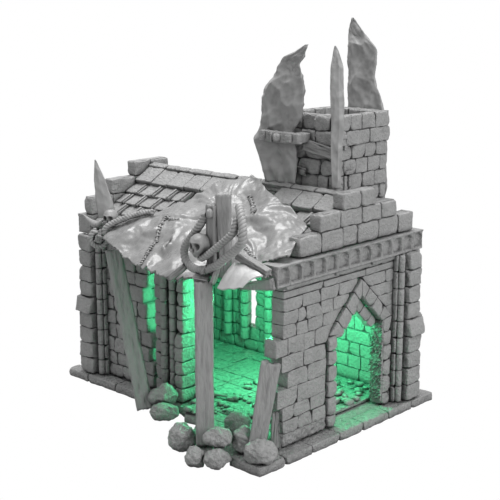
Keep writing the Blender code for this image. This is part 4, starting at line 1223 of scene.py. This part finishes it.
def build_tower():
    heap = Heap()
    x0, x1, y0, y1 = TOWER_X + 0.6, 66.0, 4.0, 49.5
    levels = [104.0, 112.0, 119.5, 127.5, 136, 144.5, 152.5, 160.5, 169.0]
    wall = 6.0
    look = dict(edge=0.9, rough=0.95, chips=0.8, step=1.4)

    def rest(y):
        """Height of the roof under the tower."""
        return RIDGE_Z + 0.2 - 3.2 * STRETCH - SLOPE * (y - RIDGE_Y) + 0.6

    for i, (z0, z1) in enumerate(zip(levels, levels[1:])):
        flare = 1.1 if z1 > 160 else 0.0
        long_x = i % 2 == 0
        low, high = (x0, x1) if long_x else (x0 + wall, x1 - wall)
        for y, out in ((y0, -NORTH), (y1, NORTH)):
            floor = rest(y)
            if z1 - 1.5 > floor:
                place = place_on((0, y + out[1] * flare, 0), EAST, out)
                run = whole(low - flare, high + flare)
                masonry(heap, place, (max(z0, floor), z1), run, wall + flare, 700 + i, (10, 15), 0.9, **look)
        low, high = (y0 + wall, y1 - wall) if long_x else (y0, y1)
        for x, out in ((x1 + flare, EAST), (x0 - flare, -EAST)):
            place = place_on((x, 0, 0), NORTH, out)
            dice = random.Random(800 + i + int(x))
            count = max(2, round((high - low) / dice.uniform(10.5, 14)))
            cuts = joints_between(dice, low, high, count, 0.2)
            for a, b in zip(cuts, cuts[1:]):
                foot = max(z0, rest((a + b) / 2) + 0.3)
                if z1 - foot > 2:
                    face = dice.uniform(-0.45, 0.45)
                    z, n, seed = (foot + 0.1, z1 - 0.1), (-wall, face), dice.randrange(9999)
                    stone(heap, place, (a + 0.12, b - 0.12), z, n, seed, 0.6, 0.5, 0.5, 1.5)
                    slab(heap, place, (a - 0.3, b + 0.3), (foot, z1), (-wall + 1, -1.2))
    piece("tower_stonework", heap, STONE, "tower", "tower_stack")
    fittings = Heap()
    front = place_on((0, -10.2, 0), EAST, -NORTH)
    stone(fittings, front, (21.8, 49.2), (153.4, 159.4), (-4.8, -0.6), 900, 0.7, 0.25, 0.6, 1.3)
    stone(fittings, front, (21.6, 25.4), (153.3, 159.6), (-5.2, 0.6), 901, 0.6, 0.2, 0.3, 1.0)
    stone(fittings, front, (29.6, 31.0), (153.3, 159.6), (-5.2, 0.5), 902, 0.4, 0.2, 0.3, 1.0)
    pebble(fittings, (34.6, -10.4, 156.4), (2.4, 1.3, 2.4), 903, 3, 0.06)
    stone(fittings, front, (41.0, 45.2), (154.2, 158.6), (-1.5, 1.2), 904, 0.8, 0.15, 0.2, 1.0)
    behind = place_on((0, -7, 0), EAST, -NORTH)
    stone(fittings, behind, (40.6, 48.4), (153.9, 158.9), (-10.4, 0), 905, 0.7, 0.2, 0.3, 1.5)
    piece("tower_beam_fittings", fittings, STONE, "tower", "tower_beam")
    board = Heap()
    beam(board, (44.5, 1.0, 152.6), (66.4, 1.4, 148.6), 2.2, 6.4, seed=910, grain=1.4)
    beam(board, (30.0, 2.0, 138.5), (45.0, 2.2, 136.6), 2.0, 4.2, seed=911, grain=1.4)
    piece("tower_sloping_boards", board, TIMBER, "tower")
    studs = Heap()
    side = place_on((66, 0, 0), NORTH, EAST)
    for seed, a0, a1, z0, z1, out in (
        (920, 10.5, 16.5, 136.6, 138.8, 1.6),
        (921, 9.4, 11.6, 127.8, 136.0, 1.3),
        (922, 13.4, 15.8, 128.6, 135.4, 1.0),
        (924, 5.0, 14.0, 156.6, 158.8, 1.5),
        (925, 4.8, 6.8, 149.2, 156.4, 1.3),
        (926, 9.2, 12.4, 150.0, 155.2, 0.9),
    ):
        stone(studs, side, (a0, a1), (z0, z1), (-1, out), seed, 0.5, 0.2, 0.2, 1.2)
    back_step = place_on((0, 49.6, 0), EAST, NORTH)
    stone(studs, back_step, (56, 65.4), (138, 152), (-1, 1.8, 1.0), 923, 1.2, 0.4, 0.4, 1.5)
    piece("tower_side_studs", studs, STONE, "tower")


def leaning_ridge(share):
    return 0.1 + 0.85 * max(0.0, share - 0.4) ** 0.9


def build_shards():
    """Three blades. Each station is the middle of the blade, its height and its half width."""
    left = [
        (30.0, -1.8, 129.6, 10.6), (28.3, -2.2, 144, 13.4), (25.8, -2.6, 153.2, 14.2),
        (27.4, -2.6, 160, 12.6), (31.4, -2.6, 167.7, 13.4), (31.8, -2.6, 176, 14.8),
        (33.5, -2.6, 183, 13.6), (35.9, -2.6, 189.3, 9.9), (36.6, -2.6, 195.6, 7.0),
        (39.8, -2.6, 200, 6.8), (44.7, -2.8, 203.2, 3.5), (49.2, -3.0, 207, 0.6),
    ]
    middle = [
        (69.9, -1.0, 131.0, 2.2), (69.5, -1.0, 141, 2.8), (69.4, -1.0, 153, 3.2), (69.8, -1.0, 165.5, 3.5),
        (69.5, -1.0, 176, 3.7), (68.9, -1.0, 184, 3.7), (68.7, -1.0, 195.7, 3.4), (68.4, -1.0, 199.4, 2.6),
        (67.8, -1.0, 204, 1.5), (67.3, -1.0, 206.8, 0.4),
    ]
    right = [
        (50, 55.0, 110, 9.5), (49.5, 55.0, 126, 12.5), (46.5, 55.0, 150, 12.8),
        (45.5, 55.0, 169.6, 12.6), (42.7, 55.0, 181.4, 10.1), (42.0, 55.0, 189.2, 9.6),
        (42.2, 55.0, 202.3, 10.3), (39.5, 55.0, 207.5, 7.6), (36.6, 55.0, 213.9, 4.4),
        (34.6, 55.0, 220, 0.5),
    ]
    jobs = (
        ("left_flint_shard", "shard_left", left, 0.22, 4, leaning_ridge, 1.6, 5),
        ("middle_flint_shard", "shard_middle", middle, 0.45, 43, lambda s: 0.62, 0.8, 9),
        ("right_flint_shard", "shard_right", right, 0.2, 2, lambda s: 0.22, 1.3, 14),
    )
    for name, node, *how in jobs:
        heap = Heap()
        blade(heap, *how, rings=110, sides=72)
        piece(name, heap, FLINT, "tower", node)


# ---------------------------------------------------------------- stage

GLOW = (0.09, 1.0, 0.40)


def shown_apart(owner, lit_kind, seen_kind, end_kind):
    """Gives a floor or a sky one shader that lights the scene and another that the camera sees."""
    owner.use_nodes = True
    nodes, links = owner.node_tree.nodes, owner.node_tree.links
    nodes.clear()
    kinds = ("LightPath", lit_kind, seen_kind, "MixShader", end_kind)
    path, lit, seen, mix, end = (nodes.new("ShaderNode" + kind) for kind in kinds)
    links.new(path.outputs["Is Camera Ray"], mix.inputs[0])
    links.new(lit.outputs[0], mix.inputs[1])
    links.new(seen.outputs[0], mix.inputs[2])
    links.new(mix.outputs[0], end.inputs[0])
    return lit.inputs, seen.inputs


def add_to_scene(name, data, place):
    made = bpy.data.objects.new(name, data)
    made.location = place
    bpy.context.scene.collection.objects.link(made)
    return made


def aim(made, way):
    made.rotation_euler = Vector(way).to_track_quat("-Z", "Y").to_euler()


def softbox(name, place, size, power):
    light = bpy.data.lights.new(name, "AREA")
    light.size = size
    light.energy = power
    aim(add_to_scene(name, light, place), Vector((0, 0, 0.09)) - Vector(place))


def glow(name, place, power):
    """A small green light inside the room."""
    light = bpy.data.lights.new(name, "POINT")
    light.energy = power
    light.color = GLOW
    light.shadow_soft_size = 0.006
    add_to_scene(name, light, Vector(place) * MM)


def build_stage():
    white = bpy.data.materials.new("studio_floor")
    matte, bright = shown_apart(white, "BsdfDiffuse", "Emission", "OutputMaterial")
    matte["Color"].default_value = (0.32, 0.32, 0.32, 1)
    bright["Strength"].default_value = 1.0
    bpy.ops.mesh.primitive_plane_add(size=40, location=(0, 0, 0))
    floor = bpy.context.object
    floor.name = "studio_floor"
    floor.data.materials.append(white)

    world = bpy.data.worlds.new("studio")
    bpy.context.scene.world = world
    dome, backdrop = shown_apart(world, "Background", "Background", "OutputWorld")
    dome["Strength"].default_value = 0.62
    for shade in (dome, backdrop):
        shade["Color"].default_value = (1, 1, 1, 1)

    softbox("overhead_softbox", (-0.15, 0.1, 1.0), 0.5, 8.6)
    softbox("right_softbox", (0.95, 0.0, 0.55), 0.45, 4.6)
    glow("glow_porch", (24, -8, 66), 0.34)
    glow("glow_door", (62, 8, 56), 0.05)

    lens = bpy.data.cameras.new("camera")
    lens.lens = 80.28
    lens.sensor_width = 36
    lens.clip_end = 100
    camera = add_to_scene("camera", lens, (0.442893, -0.46663, 0.234112))
    aim(camera, (-0.66698, 0.71030, -0.22495))
    bpy.context.scene.camera = camera
    bpy.context.scene.view_settings.view_transform = "Standard"


for build in (
    build_plinth, build_floor, build_right_wall, build_door, build_left_wall, build_back_wall,
    build_front_stub, build_piers, build_frieze, build_gables, build_roof, build_timbers, build_boulders,
    build_remains, build_canopy, build_dressing, build_tower, build_shards, build_stage,
):
    build()
